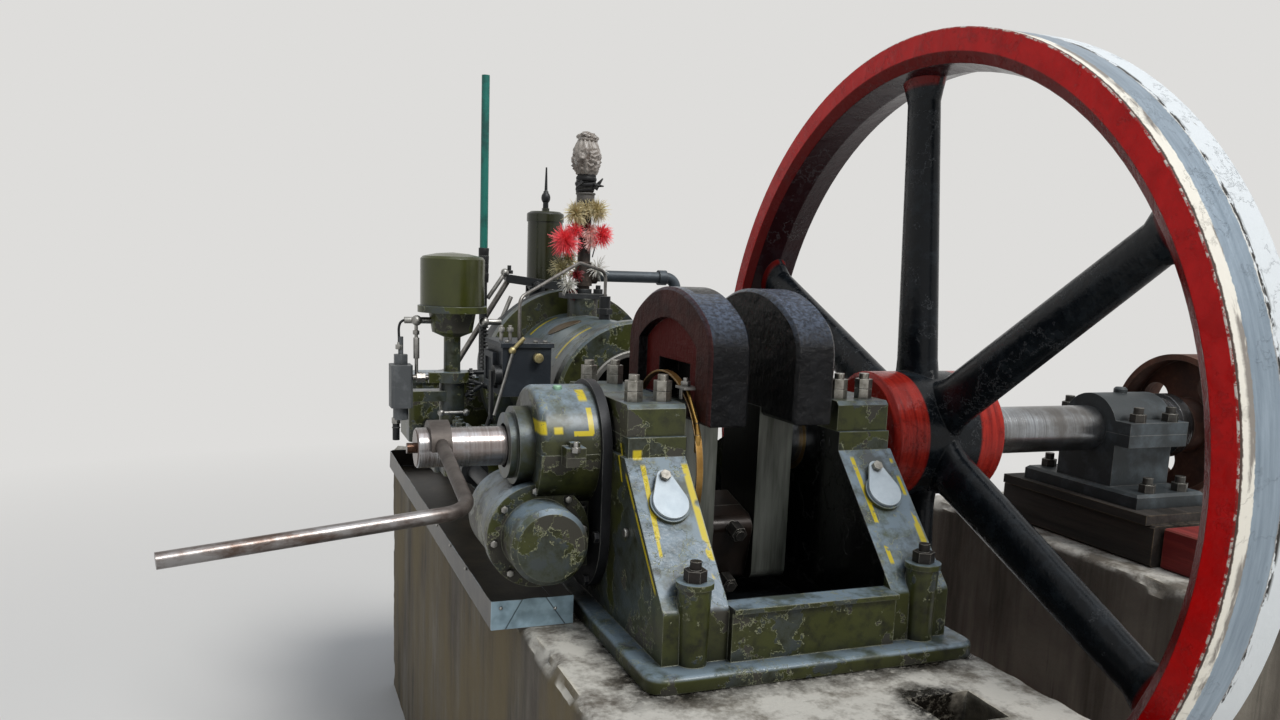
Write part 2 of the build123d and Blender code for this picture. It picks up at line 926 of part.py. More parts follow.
with BuildPart() as rod_cap:
    with BuildSketch(rod_plane) as rod_cap_outline:
        with Locations((-rod_cap_depth / 2, 0)):
            Rectangle(rod_cap_depth, 2 * rod_half_height)
        fillet(rod_cap_outline.vertices().group_by(Axis.X)[0], rod_corner)
    extrude(amount=rod_half_thickness, both=True)
    with BuildSketch(rod_plane):
        Circle(pin_radius + running_clearance)
    extrude(amount=rod_half_thickness + 1, both=True, mode=Mode.SUBTRACT)
    for offset_side in (-1, 1):
        start = pin_centre + rod_plane.y_dir * offset_side * rod_bolt_offset + rod_direction
        disc(Plane(origin=start, z_dir=-rod_direction), rod_bolt_radius, rod_cap_depth + 2, Mode.SUBTRACT)
save(rod_cap, "rod_cap")

with BuildPart() as rod_bolts:
    for offset_side in (-1, 1):
        line = pin_centre + rod_plane.y_dir * offset_side * rod_bolt_offset
        tip = Plane(origin=line - rod_direction * rod_bolt_tip, z_dir=rod_direction)
        disc(tip, rod_bolt_radius, rod_bolt_tip + rod_cap_depth)
        for count in (1, 2):
            seat = line - rod_direction * (rod_cap_depth + count * rod_nut_height)
            hexagon(Plane(origin=seat, z_dir=rod_direction), rod_nut_width, rod_nut_height)
save(rod_bolts, "rod_bolts")

# Flywheel: rim with bevelled red side faces, six tapered oval spokes and a long hub
with BuildPart() as flywheel:
    wheel_middle_x = wheel_left_x + wheel_width / 2
    wheel_right_x = wheel_left_x + wheel_width
    bevel_radius = wheel_radius - rim_face - rim_bevel
    turned(
        crank_axis,
        [
            (wheel_left_x, wheel_radius - rim_face),
            (wheel_left_x, wheel_radius - wheel_crown),
            (wheel_left_x + wheel_crown, wheel_radius),
            (wheel_right_x - wheel_crown, wheel_radius),
            (wheel_right_x, wheel_radius - wheel_crown),
            (wheel_right_x, wheel_radius - rim_face),
            (wheel_right_x - rim_bevel_width, bevel_radius),
            (wheel_middle_x, bevel_radius - rim_bulge),
            (wheel_left_x + rim_bevel_width, bevel_radius),
        ],
    )
    turned(
        crank_axis,
        [
            (hub_left_x, outboard_radius),
            (hub_left_x, hub_radius - hub_edge),
            (hub_left_x + hub_edge, hub_radius),
            (hub_right_x - hub_edge, hub_radius),
            (hub_right_x, hub_radius - hub_edge),
            (hub_right_x, outboard_radius),
        ],
    )
    inner_rim = bevel_radius - rim_bulge
    root_middle_width = (spoke_root_flare_width + 2 * spoke_root_width) / 3
    tip_middle_width = (2 * spoke_tip_width + spoke_flare_width) / 3
    spoke_sections = [
        (spoke_root_radius, spoke_root_thickness, spoke_root_flare_width),
        (spoke_root_radius + spoke_root_flare / 2, spoke_root_thickness, root_middle_width),
        (spoke_root_radius + spoke_root_flare, spoke_root_thickness, spoke_root_width),
        (inner_rim - spoke_flare, spoke_tip_thickness, spoke_tip_width),
        (inner_rim - spoke_flare / 2, spoke_tip_thickness, tip_middle_width),
        (spoke_tip_radius, spoke_flare_thickness, spoke_flare_width),
    ]
    for count in range(spoke_count):
        angle = radians(spoke_start_angle + count * 360 / spoke_count)
        outward = Vector(0, cos(angle), sin(angle))
        for inner, outer in pairwise(spoke_sections):
            for radius, thickness, width in (inner, outer):
                centre = Vector(wheel_middle_x, 0, shaft_z) + outward * radius
                with BuildSketch(Plane(origin=centre, x_dir=(1, 0, 0), z_dir=outward)):
                    Ellipse(thickness / 2, width / 2)
            loft()
save(flywheel, "flywheel")

# Collars on the shaft beside the outboard bearing
with BuildPart() as shaft_collars:
    turned(
        crank_axis,
        [
            (collar_left, outboard_radius),
            (collar_left, collar_radius),
            (collar_step_x, collar_radius),
            (collar_step_x, collar_step_radius),
            (collar_right, collar_step_radius),
            (collar_right, outboard_radius),
        ],
    )
save(shaft_collars, "shaft_collars")

# Belt pulley with round holes in its web
with BuildPart() as pulley:
    pulley_right = pulley_left + pulley_width
    pulley_middle = pulley_left + pulley_width / 2
    turned(
        crank_axis,
        [
            (pulley_left, pulley_radius - pulley_rim),
            (pulley_left, pulley_radius),
            (pulley_right, pulley_radius),
            (pulley_right, pulley_radius - pulley_rim),
            (pulley_middle + pulley_web / 2, pulley_radius - pulley_rim),
            (pulley_middle + pulley_web / 2, pulley_hub_radius),
            (pulley_right, pulley_hub_radius),
            (pulley_right, outboard_radius),
            (pulley_left, outboard_radius),
            (pulley_left, pulley_hub_radius),
            (pulley_middle - pulley_web / 2, pulley_hub_radius),
            (pulley_middle - pulley_web / 2, pulley_radius - pulley_rim),
        ],
    )
    with BuildSketch(crossing(pulley_left)):
        with PolarLocations(pulley_hole_circle, pulley_hole_count, pulley_hole_start_angle):
            Circle(pulley_hole_radius)
    extrude(amount=pulley_width, mode=Mode.SUBTRACT)
save(pulley, "pulley")

# Starting handle: flat band bent over the shaft end, leg and bent grip
with BuildPart() as starting_handle:
    band_inner = stub_radius + seat_gap
    with BuildSketch(crossing(handle_x - handle_band_width / 2)):
        Circle(band_inner + handle_band_thickness)
        Circle(band_inner, mode=Mode.SUBTRACT)
        with Locations((0, -band_inner)):
            Rectangle(4 * band_inner, 2 * band_inner, mode=Mode.SUBTRACT)
    extrude(amount=handle_band_width)
    band_middle = band_inner + handle_band_thickness / 2
    with BuildLine() as handle_route:
        FilletPolyline(
            (handle_x, -band_middle, shaft_z + handle_rod_radius),
            (handle_x, -handle_leg, shaft_z - handle_drop),
            (handle_grip_x, handle_grip_y, shaft_z - handle_grip_drop),
            radius=handle_bend_radius,
        )
    with BuildSketch(Plane(origin=handle_route.line @ 0, z_dir=handle_route.line % 0)):
        Circle(handle_rod_radius)
    sweep(path=handle_route.line)
save(starting_handle, "starting_handle")

# Gear case plate bolted to the outside of the bed
with BuildPart() as gear_case_plate:
    plate_x = -wall_outer_x
    plate_left_x = plate_x - case_plate_thickness
    with BuildSketch(crossing(plate_x)) as plate_outline:
        Circle(case_plate_radius)
        with Locations((0, -side_shaft_drop / 2)):
            Rectangle(2 * case_plate_radius, side_shaft_drop)
        with Locations((0, -side_shaft_drop)):
            Circle(case_plate_radius)
        Circle(journal_radius + case_bore_gap, mode=Mode.SUBTRACT)
    extrude(amount=-case_plate_thickness)
    for y, z in (
        (-case_radius + case_bolt_inset, -side_shaft_drop),
        (case_radius - case_bolt_inset, -side_shaft_drop),
        (-case_radius / 2, -side_shaft_drop - case_radius + case_lower_bolt_inset),
        (case_radius / 2, -side_shaft_drop - case_radius + case_lower_bolt_inset),
    ):
        seat = Plane(origin=(plate_left_x, y, shaft_z + z), z_dir=(-1, 0, 0))
        hexagon(seat, small_bolt_width, small_bolt_height)
save(gear_case_plate, "gear_case_plate")

# Upper half of the gear case, with bolted ears at the split
case_length = -case_left_x + plate_left_x
with BuildPart() as gear_case_upper:
    with BuildSketch(crossing(plate_left_x)):
        Circle(case_radius)
        Circle(gear_seat_radius + case_bore_gap, mode=Mode.SUBTRACT)
        with Locations((0, -case_radius)):
            Rectangle(2 * case_radius, 2 * case_radius, mode=Mode.SUBTRACT)
    extrude(amount=-case_length)
    outer_arcs = gear_case_upper.edges().filter_by(GeomType.CIRCLE).group_by(Axis.X)[0]
    fillet(outer_arcs.sort_by(SortBy.LENGTH)[-1], case_edge_radius)
    case_middle_x = (case_left_x + plate_left_x) / 2
    for side in (-1, 1):
        ear = sorted((side * (case_radius - lug_root), side * (case_radius + lug_reach)))
        block(
            (case_middle_x - lug_width / 2, ear[0], 0),
            (case_middle_x + lug_width / 2, ear[1], lug_thickness),
        )
        hexagon(
            level(lug_thickness, case_middle_x, side * (case_radius + lug_reach / 2)),
            small_bolt_width,
            small_bolt_height,
        )
save(gear_case_upper, "gear_case_upper")

# Lower half of the gear case, with the round housing of the side shaft's gear across it
with BuildPart() as gear_case_lower:
    with BuildSketch(crossing(plate_left_x)):
        Circle(case_radius)
        with Locations((0, case_radius)):
            Rectangle(2 * case_radius, 2 * case_radius, mode=Mode.SUBTRACT)
    extrude(amount=-case_length)
    for side in (-1, 1):
        ear = sorted((side * (case_radius - lug_root), side * (case_radius + lug_reach)))
        block(
            (case_middle_x - lug_width / 2, ear[0], -lug_thickness),
            (case_middle_x + lug_width / 2, ear[1], 0),
        )
    turned(
        side_axis,
        [
            (drum_front, 0),
            (drum_front, drum_radius - drum_chamfer),
            (drum_front + drum_chamfer, drum_radius),
            (drum_flange_front, drum_radius),
            (drum_flange_front, drum_flange_radius),
            (drum_flange_back, drum_flange_radius),
            (drum_flange_back, drum_body_radius),
            (drum_body_back, drum_body_radius),
            (drum_body_back, 0),
        ],
    )
    block(
        (side_shaft_x, drum_flange_back, -side_shaft_drop - case_box_depth),
        (plate_left_x, case_box_back, 0),
    )
    turned(
        crank_axis,
        [
            (case_left_x - seal_length - seal_face_length, 0),
            (case_left_x - seal_length - seal_face_length, seal_radius + seat_gap),
            (case_left_x, seal_radius + seat_gap),
            (case_left_x, gear_seat_radius + case_bore_gap),
            (plate_left_x, gear_seat_radius + case_bore_gap),
            (plate_left_x, 0),
        ],
        mode=Mode.SUBTRACT,
    )
save(gear_case_lower, "gear_case_lower")

# Stepped seal collar on the end of the gear case
with BuildPart() as shaft_seal:
    seal_step_x = case_left_x - seal_length
    turned(
        crank_axis,
        [
            (seal_step_x - seal_face_length, gear_seat_radius + case_bore_gap),
            (seal_step_x - seal_face_length, seal_face_radius),
            (seal_step_x, seal_face_radius),
            (seal_step_x, seal_radius),
            (case_left_x, seal_radius),
            (case_left_x, gear_seat_radius + case_bore_gap),
        ],
    )
save(shaft_seal, "shaft_seal")

# Side shaft from the gear case to the cam box
with BuildPart() as side_shaft:
    disc(
        Plane(origin=(side_shaft_x, drum_body_back, side_shaft_z), z_dir=(0, 1, 0)),
        side_shaft_radius,
        cam_box_front - drum_body_back,
    )
save(side_shaft, "side_shaft")

# Bearing of the side shaft, on an arm from the bed
with BuildPart() as side_shaft_bearing:
    half = side_bearing_length / 2
    block(
        (side_shaft_x - side_bearing_half_width, side_bearing_y - half, side_bearing_bottom),
        (side_shaft_x + side_bearing_half_width, side_bearing_y + half, side_bearing_top),
    )
    chamfer(side_shaft_bearing.faces().sort_by(Axis.Z)[-1].edges().filter_by(Axis.Y), side_bearing_chamfer)
    block(
        (side_shaft_x, side_bearing_y - half / 2, side_bearing_bottom),
        (-wall_outer_x, side_bearing_y + half / 2, -side_shaft_drop),
    )
    disc(
        Plane(origin=(side_shaft_x, side_bearing_y - half, side_shaft_z), z_dir=(0, 1, 0)),
        side_shaft_radius,
        side_bearing_length,
        Mode.SUBTRACT,
    )
    for y in (-half / 2, half / 2):
        side_bolt = level(side_bearing_top, side_shaft_x, side_bearing_y + y)
        hexagon(side_bolt, side_bolt_width, side_nut_height)
        disc(side_bolt, side_bolt_radius, side_bolt_stand)
save(side_shaft_bearing, "side_shaft_bearing")

# Cam box beside the head
with BuildPart() as cam_box:
    block((cam_box_left, cam_box_front, cam_box_bottom), (cam_box_reach, cam_box_back, cam_box_top - cam_lid))
    fillet(cam_box.edges().filter_by(Axis.Z), cam_box_corner)
    block(
        (cam_box_left - cam_lid_reach, cam_box_front - cam_lid_reach, cam_box_top - cam_lid),
        (cam_box_reach, cam_box_back + cam_lid_reach, cam_box_top),
    )
    turned(
        cylinder_axis,
        [
            (cam_box_front - cam_box_clearance, 0),
            (cam_box_front - cam_box_clearance, head_radius + seat_gap),
            (cam_box_back + cam_box_clearance, head_radius + seat_gap),
            (cam_box_back + cam_box_clearance, 0),
        ],
        mode=Mode.SUBTRACT,
    )
save(cam_box, "cam_box")

# Water-jacketed cylinder with its mouth ring, foot and outlet boss
with BuildPart() as cylinder_jacket:
    turned(
        cylinder_axis,
        [
            (mouth_y, liner_radius),
            (mouth_y, mouth_radius - mouth_chamfer),
            (mouth_y + mouth_chamfer, mouth_radius),
            (mouth_y + mouth_length, mouth_radius),
            (mouth_y + mouth_length + jacket_step, jacket_radius),
            (jacket_back - head_flange_thickness - jacket_step, jacket_radius),
            (jacket_back - head_flange_thickness, head_flange_radius),
            (jacket_back, head_flange_radius),
            (jacket_back, liner_radius),
        ],
    )
    with BuildSketch(level(deck_top, 0, (mouth_y + cradle_back) / 2)):
        Rectangle(2 * foot_half_width, cradle_back - mouth_y - 2 * mouth_length)
    extrude(amount=foot_thickness + boss_root)
    outlet_root = level(jacket_radius - boss_root, 0, outlet_y)
    disc(outlet_root, outlet_boss_radius, outlet_face - jacket_radius + boss_root)
    turned(
        cylinder_axis,
        [(mouth_y, 0), (mouth_y, liner_radius), (jacket_back, liner_radius), (jacket_back, 0)],
        mode=Mode.SUBTRACT,
    )
save(cylinder_jacket, "cylinder_jacket")

# Liner standing a little proud of the mouth
with BuildPart() as cylinder_liner:
    turned(
        cylinder_axis,
        [
            (mouth_y - liner_proud, bore_radius + liner_lead),
            (mouth_y - liner_proud, liner_radius - liner_chamfer),
            (mouth_y - liner_proud + liner_chamfer, liner_radius),
            (jacket_back, liner_radius),
            (jacket_back, bore_radius),
            (mouth_y - liner_proud + liner_lead_length, bore_radius),
        ],
    )
save(cylinder_liner, "cylinder_liner")

# Piston at the middle of its stroke
with BuildPart() as piston:
    turned(
        cylinder_axis,
        [
            (piston_front, 0),
            (piston_front, bore_radius - piston_gap - piston_chamfer),
            (piston_front + piston_chamfer, bore_radius - piston_gap),
            (piston_front + piston_length, bore_radius - piston_gap),
            (piston_front + piston_length, 0),
        ],
    )
save(piston, "piston")

# Cylinder head: flange, round body and end cover
with BuildPart() as cylinder_head:
    head_front = jacket_back
    turned(
        cylinder_axis,
        [
            (head_front, 0),
            (head_front, head_flange_radius),
            (head_front + head_flange_thickness, head_flange_radius),
            (head_front + head_flange_thickness, head_radius),
            (head_back - head_corner, head_radius),
            (head_back, head_radius - head_corner),
            (head_back, head_cover_radius),
            (head_back + head_cover_length, head_cover_radius - head_cover_taper),
            (head_back + head_cover_length, 0),
        ],
    )
save(cylinder_head, "cylinder_head")

# Nuts of the head studs
with BuildPart() as head_nuts:
    nut_face = jacket_back + head_flange_thickness
    for count in range(head_stud_count):
        angle = radians(360 / head_stud_count * (count + 0.5))
        seat = Vector(head_stud_circle * cos(angle), nut_face, shaft_z + head_stud_circle * sin(angle))
        nut_plane = Plane(origin=seat, z_dir=(0, 1, 0))
        hexagon(nut_plane, head_nut_width, head_nut_height)
        disc(nut_plane, head_stud_radius, head_nut_height + head_stud_tip)
save(head_nuts, "head_nuts")

# Rectangular flange of the cooling water outlet, with two bolts
with BuildPart() as water_outlet:
    with BuildSketch(level(outlet_face, 0, outlet_y)):
        RectangleRounded(outlet_flange_length, outlet_flange_width, outlet_corner)
    extrude(amount=outlet_flange_thickness)
    disc(level(outlet_top, 0, outlet_y), tee_radius, outlet_collar)
    outlet_bore = level(outlet_face, 0, outlet_y)
    disc(outlet_bore, stack_bore, outlet_flange_thickness + outlet_collar, Mode.SUBTRACT)
    for x in (-outlet_bolt_spacing / 2, outlet_bolt_spacing / 2):
        hexagon(level(outlet_top, x, outlet_y), outlet_nut_width, outlet_nut_height)
        disc(level(outlet_top, x, outlet_y), outlet_bolt_radius, outlet_bolt_stand)
save(water_outlet, "water_outlet")

# Vertical stack with its tee
with BuildPart() as water_stack:
    disc(level(stack_foot, 0, outlet_y), stack_radius, stack_top - stack_foot)
    disc(level(tee_height - tee_length / 2 + tee_rise, 0, outlet_y), tee_radius, tee_length)
    tee_face_x = tee_radius + tee_arm
    disc(
        Plane(origin=(0, outlet_y, shaft_z + tee_height), z_dir=(1, 0, 0)),
        tee_arm_radius,
        tee_face_x,
    )
    disc(level(stack_foot, 0, outlet_y), stack_bore, stack_top - stack_foot, Mode.SUBTRACT)
    disc(
        Plane(origin=(0, outlet_y, shaft_z + tee_height), z_dir=(1, 0, 0)),
        branch_bore,
        tee_face_x,
        Mode.SUBTRACT,
    )
save(water_stack, "water_stack")

# Level branch pipe with a falling elbow
with BuildPart() as water_branch:
    with BuildLine() as branch_route:
        FilletPolyline(
            (tee_face_x, outlet_y, shaft_z + tee_height),
            (branch_end_x, outlet_y, shaft_z + tee_height),
            (branch_end_x, outlet_y, shaft_z + tee_height - elbow_drop),
            radius=elbow_bend,
        )
    route = branch_route.line
    with BuildSketch(Plane(origin=route @ 0, z_dir=route % 0)) as branch_section:
        Circle(branch_radius)
    sweep(branch_section.sketch, path=route)
    disc(level(tee_height - elbow_drop, branch_end_x, outlet_y), elbow_radius, elbow_socket)
    elbow_start = (branch_end_x - elbow_bend, outlet_y, shaft_z + tee_height)
    disc(Plane(origin=elbow_start, z_dir=(-1, 0, 0)), elbow_radius, elbow_socket)
    with BuildSketch(Plane(origin=route @ 0, z_dir=route % 0)) as branch_hollow:
        Circle(branch_bore)
    sweep(branch_hollow.sketch, path=route, mode=Mode.SUBTRACT)
save(water_branch, "water_branch")

# Wrapped plug on top of the stack
with BuildPart() as stack_wrap:
    turned(
        upright(0, outlet_y),
        [
            (stack_top - wrap_overlap, stack_radius + seat_gap),
            (stack_top - wrap_overlap, stack_radius + wrap_skin),
            (stack_top - wrap_overlap / 2, wrap_radius),
            (stack_top + wrap_height / 3, wrap_radius),
            (stack_top + wrap_height / 2, wrap_neck_radius),
            (stack_top + wrap_height * 0.7, wrap_knot_radius),
            (stack_top + wrap_height, wrap_neck_radius),
            (stack_top + wrap_height, 0),
            (stack_top, 0),
            (stack_top, stack_radius + seat_gap),
        ],
    )
save(stack_wrap, "stack_wrap")

# Air filter drum on its pipe over the head
filter_top = filter_base + filter_height
with BuildPart() as air_filter:
    disc(level(0, 0, filter_y), filter_pipe_radius, filter_base)
    turned(
        cylinder_axis,
        [
            (filter_y - head_clearance, 0),
            (filter_y - head_clearance, head_radius),
            (filter_y + head_clearance, head_radius),
            (filter_y + head_clearance, 0),
        ],
        mode=Mode.SUBTRACT,
    )
    turned(
        upright(0, filter_y),
        [
            (filter_base, 0),
            (filter_base, filter_radius - filter_corner),
            (filter_base + filter_corner, filter_radius),
            (filter_top - filter_lid_bottom, filter_radius),
            (filter_top - filter_lid_bottom, filter_radius + filter_lid_reach),
            (filter_top - filter_lid_top, filter_radius + filter_lid_reach),
            (filter_top, filter_radius - filter_lid_top),
            (filter_top, 0),
        ],
    )
    disc(level(filter_top, 0, filter_y), filter_rod_radius, filter_rod_length)
    hexagon(level(filter_top, 0, filter_y), filter_nut_width, filter_nut_height)
save(air_filter, "air_filter")

# Pad and post that carry the rocker
with BuildPart() as rocker_bracket:
    half = rocker_post_width / 2
    block((rocker_x - half, rocker_y - half, 0), (rocker_x + half, rocker_y + half, rocker_height))
    turned(
        cylinder_axis,
        [
            (rocker_y - 3 * half, 0),
            (rocker_y - 3 * half, head_radius + seat_gap),
            (rocker_y + 3 * half, head_radius + seat_gap),
            (rocker_y + 3 * half, 0),
        ],
        mode=Mode.SUBTRACT,
    )
    pivot_plane = Plane((rocker_x, rocker_y, shaft_z + rocker_height), x_dir=(1, 0, 0), z_dir=(0, -1, 0))
    with BuildSketch(pivot_plane):
        Circle(rocker_clear_radius)
    extrude(amount=rocker_arm_width / 2 + rocker_side_gap, both=True, mode=Mode.SUBTRACT)
    with BuildSketch(pivot_plane):
        Circle(rocker_pin_radius)
    extrude(amount=rocker_hub_length / 2, both=True)
save(rocker_bracket, "rocker_bracket")

# Rocker arm: hub on the pivot, tapered arms to the push rod and to the valve
with BuildPart() as rocker_arm:
    with BuildSketch(pivot_plane):
        with Locations((rocker_nose_x - rocker_x, rocker_nose_height - rocker_height)):
            Circle(rocker_tip_radius)
        with Locations((rocker_tip_x - rocker_x, rocker_tip_height - rocker_height)):
            Circle(rocker_tip_radius)
        make_hull()
        Circle(rocker_hub_radius)
    extrude(amount=rocker_arm_width / 2, both=True)
    with BuildSketch(pivot_plane):
        Circle(rocker_pin_radius)
    extrude(amount=rocker_hub_length / 2, both=True, mode=Mode.SUBTRACT)
save(rocker_arm, "rocker_arm")

# Push rod up from the cam box, and the valve stem under the rocker's nose
with BuildPart() as push_rod:
    rod_foot = Vector(push_rod_foot_x, rocker_y, shaft_z + cam_box_top)
    rod_head = Vector(rocker_tip_x, rocker_y, shaft_z + rocker_tip_height)
    bar(rod_foot, rod_head, push_rod_radius)
    cup_seat = level(cam_box_top, push_rod_foot_x, rocker_y)
    disc(cup_seat, push_rod_cup_radius, push_rod_cup_height)
    with BuildSketch(pivot_plane):
        with Locations((rocker_nose_x - rocker_x, rocker_nose_height - rocker_height)):
            Circle(rocker_tip_radius)
        with Locations((rocker_tip_x - rocker_x, rocker_tip_height - rocker_height)):
            Circle(rocker_tip_radius)
        make_hull()
    extrude(amount=rocker_arm_width / 2, both=True, mode=Mode.SUBTRACT)
    disc(cup_seat, push_rod_cup_radius, -push_rod_cup_height, Mode.SUBTRACT)
save(push_rod, "push_rod")

with BuildPart() as valve_stem:
    stem_top = rocker_nose_height - rocker_tip_radius
    stem_foot = level(head_radius - valve_root, rocker_nose_x, rocker_y)
    disc(stem_foot, valve_stem_radius, stem_top - head_radius + valve_root)
    collar_foot = level(stem_top - valve_collar_drop, rocker_nose_x, rocker_y)
    disc(collar_foot, valve_collar_radius, valve_collar_height)
    disc(stem_foot, valve_guide_radius, valve_guide_height)
    turned(
        cylinder_axis,
        [
            (rocker_y - head_clearance, 0),
            (rocker_y - head_clearance, head_radius),
            (rocker_y + head_clearance, head_radius),
            (rocker_y + head_clearance, 0),
        ],
        mode=Mode.SUBTRACT,
    )
save(valve_stem, "valve_stem")

# Governor: gear box round the side shaft, post, collar, column, neck and flange
with BuildPart() as governor_column:
    block(
        (governor_x - governor_box_half, governor_y - governor_box_half, governor_box_bottom),
        (governor_x + governor_box_half, governor_y + governor_box_half, governor_box_top),
    )
    fillet(governor_column.edges().filter_by(Axis.Z), governor_box_corner)
    block(
        (governor_x, governor_y - bracket_width / 2, governor_box_bottom),
        (-wall_outer_x, governor_y + bracket_width / 2, governor_box_bottom + bracket_height),
    )
    turned(
        upright(governor_x, governor_y),
        [
            (governor_box_top, 0),
            (governor_box_top, governor_post_radius),
            (governor_collar_bottom, governor_post_radius),
            (governor_collar_bottom, governor_collar_radius),
            (governor_collar_top, governor_collar_radius),
            (governor_collar_top, governor_column_radius),
            (governor_neck_bottom, governor_column_radius),
            (governor_neck_bottom + governor_neck_step, governor_neck_radius - governor_neck_taper),
            (governor_flange_bottom, governor_neck_radius),
            (governor_flange_bottom, governor_flange_radius),
            (governor_flange_top, governor_flange_radius),
            (governor_flange_top, 0),
        ],
    )
    # Arm that carries the fuel pump, and the lug of the pump's link
    block(
        (pump_x + pump_width / 2, governor_y - bracket_width / 2, -bracket_width / 2),
        (governor_x, governor_y + bracket_width / 2, 0),
    )
    block(
        (link_lug_x, link_y - link_lug_width / 2, governor_collar_bottom),
        (governor_x, link_y + link_lug_width / 2, governor_collar_top),
    )
    disc(
        Plane(origin=(side_shaft_x, governor_y - governor_box_half, side_shaft_z), z_dir=(0, 1, 0)),
        side_shaft_radius,
        2 * governor_box_half,
        Mode.SUBTRACT,
    )
save(governor_column, "governor_column")

# Domed drum over the governor's weights
with BuildPart() as governor_drum:
    drum_top = governor_flange_top + governor_drum_height
    turned(
        upright(governor_x, governor_y),
        [
            (governor_flange_top, 0),
            (governor_flange_top, governor_drum_radius),
            (drum_top - governor_drum_edge, governor_drum_radius),
            (drum_top, governor_drum_radius - governor_drum_edge),
            (drum_top + governor_dome * 0.7, governor_drum_radius / 2),
            (drum_top + governor_dome, 0),
        ],
    )
save(governor_drum, "governor_drum")

# Fuel pump block with its delivery nut and pipe
with BuildPart() as fuel_pump:
    block(
        (pump_x - pump_width / 2, governor_y - pump_length / 2, pump_bottom),
        (pump_x + pump_width / 2, governor_y + pump_length / 2, pump_top),
    )
    chamfer(fuel_pump.edges().filter_by(Axis.Z), pump_chamfer)
    hexagon(level(pump_top, pump_x, governor_y), 2 * pump_nut_radius, pump_nut_height)
    disc(level(pump_top + pump_nut_height, pump_x, governor_y), pump_pipe_radius, pump_pipe_height)
    disc(level(pump_bottom, pump_x, governor_y), pump_foot_radius, -pump_foot_height)
save(fuel_pump, "fuel_pump")

# Turnbuckle link between the governor and the pump
with BuildPart() as pump_link:
    link_start = Vector(pump_x + pump_width / 2, link_y, shaft_z + link_height)
    link_end = Vector(link_lug_x, link_y, shaft_z + link_height)
    bar(link_start, link_end, link_radius)
    middle = (link_start + link_end) / 2 - Vector(turnbuckle_length / 2, 0, 0)
    hexagon(Plane(origin=middle, z_dir=(1, 0, 0)), 2 * turnbuckle_radius, turnbuckle_length)
save(pump_link, "pump_link")

# Mechanical lubricator: box with a lid, a framed sight glass and a post from the bed
with BuildPart() as lubricator:
    block(
        (lubricator_left, lubricator_front, lubricator_bottom),
        (lubricator_right, lubricator_back, lubricator_top),
    )
    block(
        (
            lubricator_left - lubricator_lid_reach,
            lubricator_front - lubricator_lid_reach,
            lubricator_top,
        ),
        (
            lubricator_right + lubricator_lid_reach,
            lubricator_back + lubricator_lid_reach,
            lubricator_top + lubricator_lid,
        ),
    )
    block(
        (
            lubricator_left - glass_frame_depth,
            lubricator_front + 3 * glass_frame_margin,
            lubricator_bottom + glass_frame_margin,
        ),
        (lubricator_left, lubricator_back - glass_frame_margin, lubricator_top - glass_frame_margin),
    )
    block(
        (
            lubricator_left - glass_frame_depth,
            lubricator_front + 4 * glass_frame_margin,
            lubricator_bottom + 2 * glass_frame_margin,
        ),
        (
            lubricator_left - glass_frame_depth / 2,
            lubricator_back - 2 * glass_frame_margin,
            lubricator_top - 2 * glass_frame_margin,
        ),
        Mode.SUBTRACT,
    )
    block(
        (lubricator_post_x, lubricator_front + lubricator_post_inset, cradle_top),
        (lubricator_right, lubricator_back - lubricator_post_inset, lubricator_bottom),
    )
save(lubricator, "lubricator")

# Lubricator's ratchet disc, lever, rod and the strap on the side shaft
with BuildPart() as lubricator_drive:
    disc(
        Plane(origin=(lubricator_left, drive_y, shaft_z + drive_height), z_dir=(-1, 0, 0)),
        drive_disc_radius,
        drive_disc_length,
    )
    lever_x = lubricator_left - drive_disc_length
    block(
        (lever_x - drive_lever_thickness, drive_y - drive_lever_width / 2, drive_lever_foot),
        (lever_x, drive_y + drive_lever_width / 2, drive_height + drive_disc_radius / 2),
    )
    strap_plane = Plane(origin=(side_shaft_x, drive_y - strap_length / 2, side_shaft_z), z_dir=(0, 1, 0))
    disc(strap_plane, strap_radius, strap_length)
    bar(
        (side_shaft_x, drive_y, side_shaft_z + side_shaft_radius),
        (lever_x - drive_lever_thickness / 2, drive_y, shaft_z + drive_lever_foot + drive_lever_width / 2),
        drive_rod_radius,
    )
    disc(strap_plane.offset(-1), side_shaft_radius, strap_length + 2, Mode.SUBTRACT)
save(lubricator_drive, "lubricator_drive")

# Check valve screwed into the top of the cylinder
with BuildPart() as check_valve:
    disc(level(0, 0, valve_y), valve_radius, valve_height)
    hexagon(level(valve_height - valve_nut_drop, 0, valve_y), valve_nut_width, valve_nut_height)
    turned(
        cylinder_axis,
        [
            (valve_y - head_clearance, 0),
            (valve_y - head_clearance, jacket_radius),
            (valve_y + head_clearance, jacket_radius),
            (valve_y + head_clearance, 0),
        ],
        mode=Mode.SUBTRACT,
    )
save(check_valve, "check_valve")

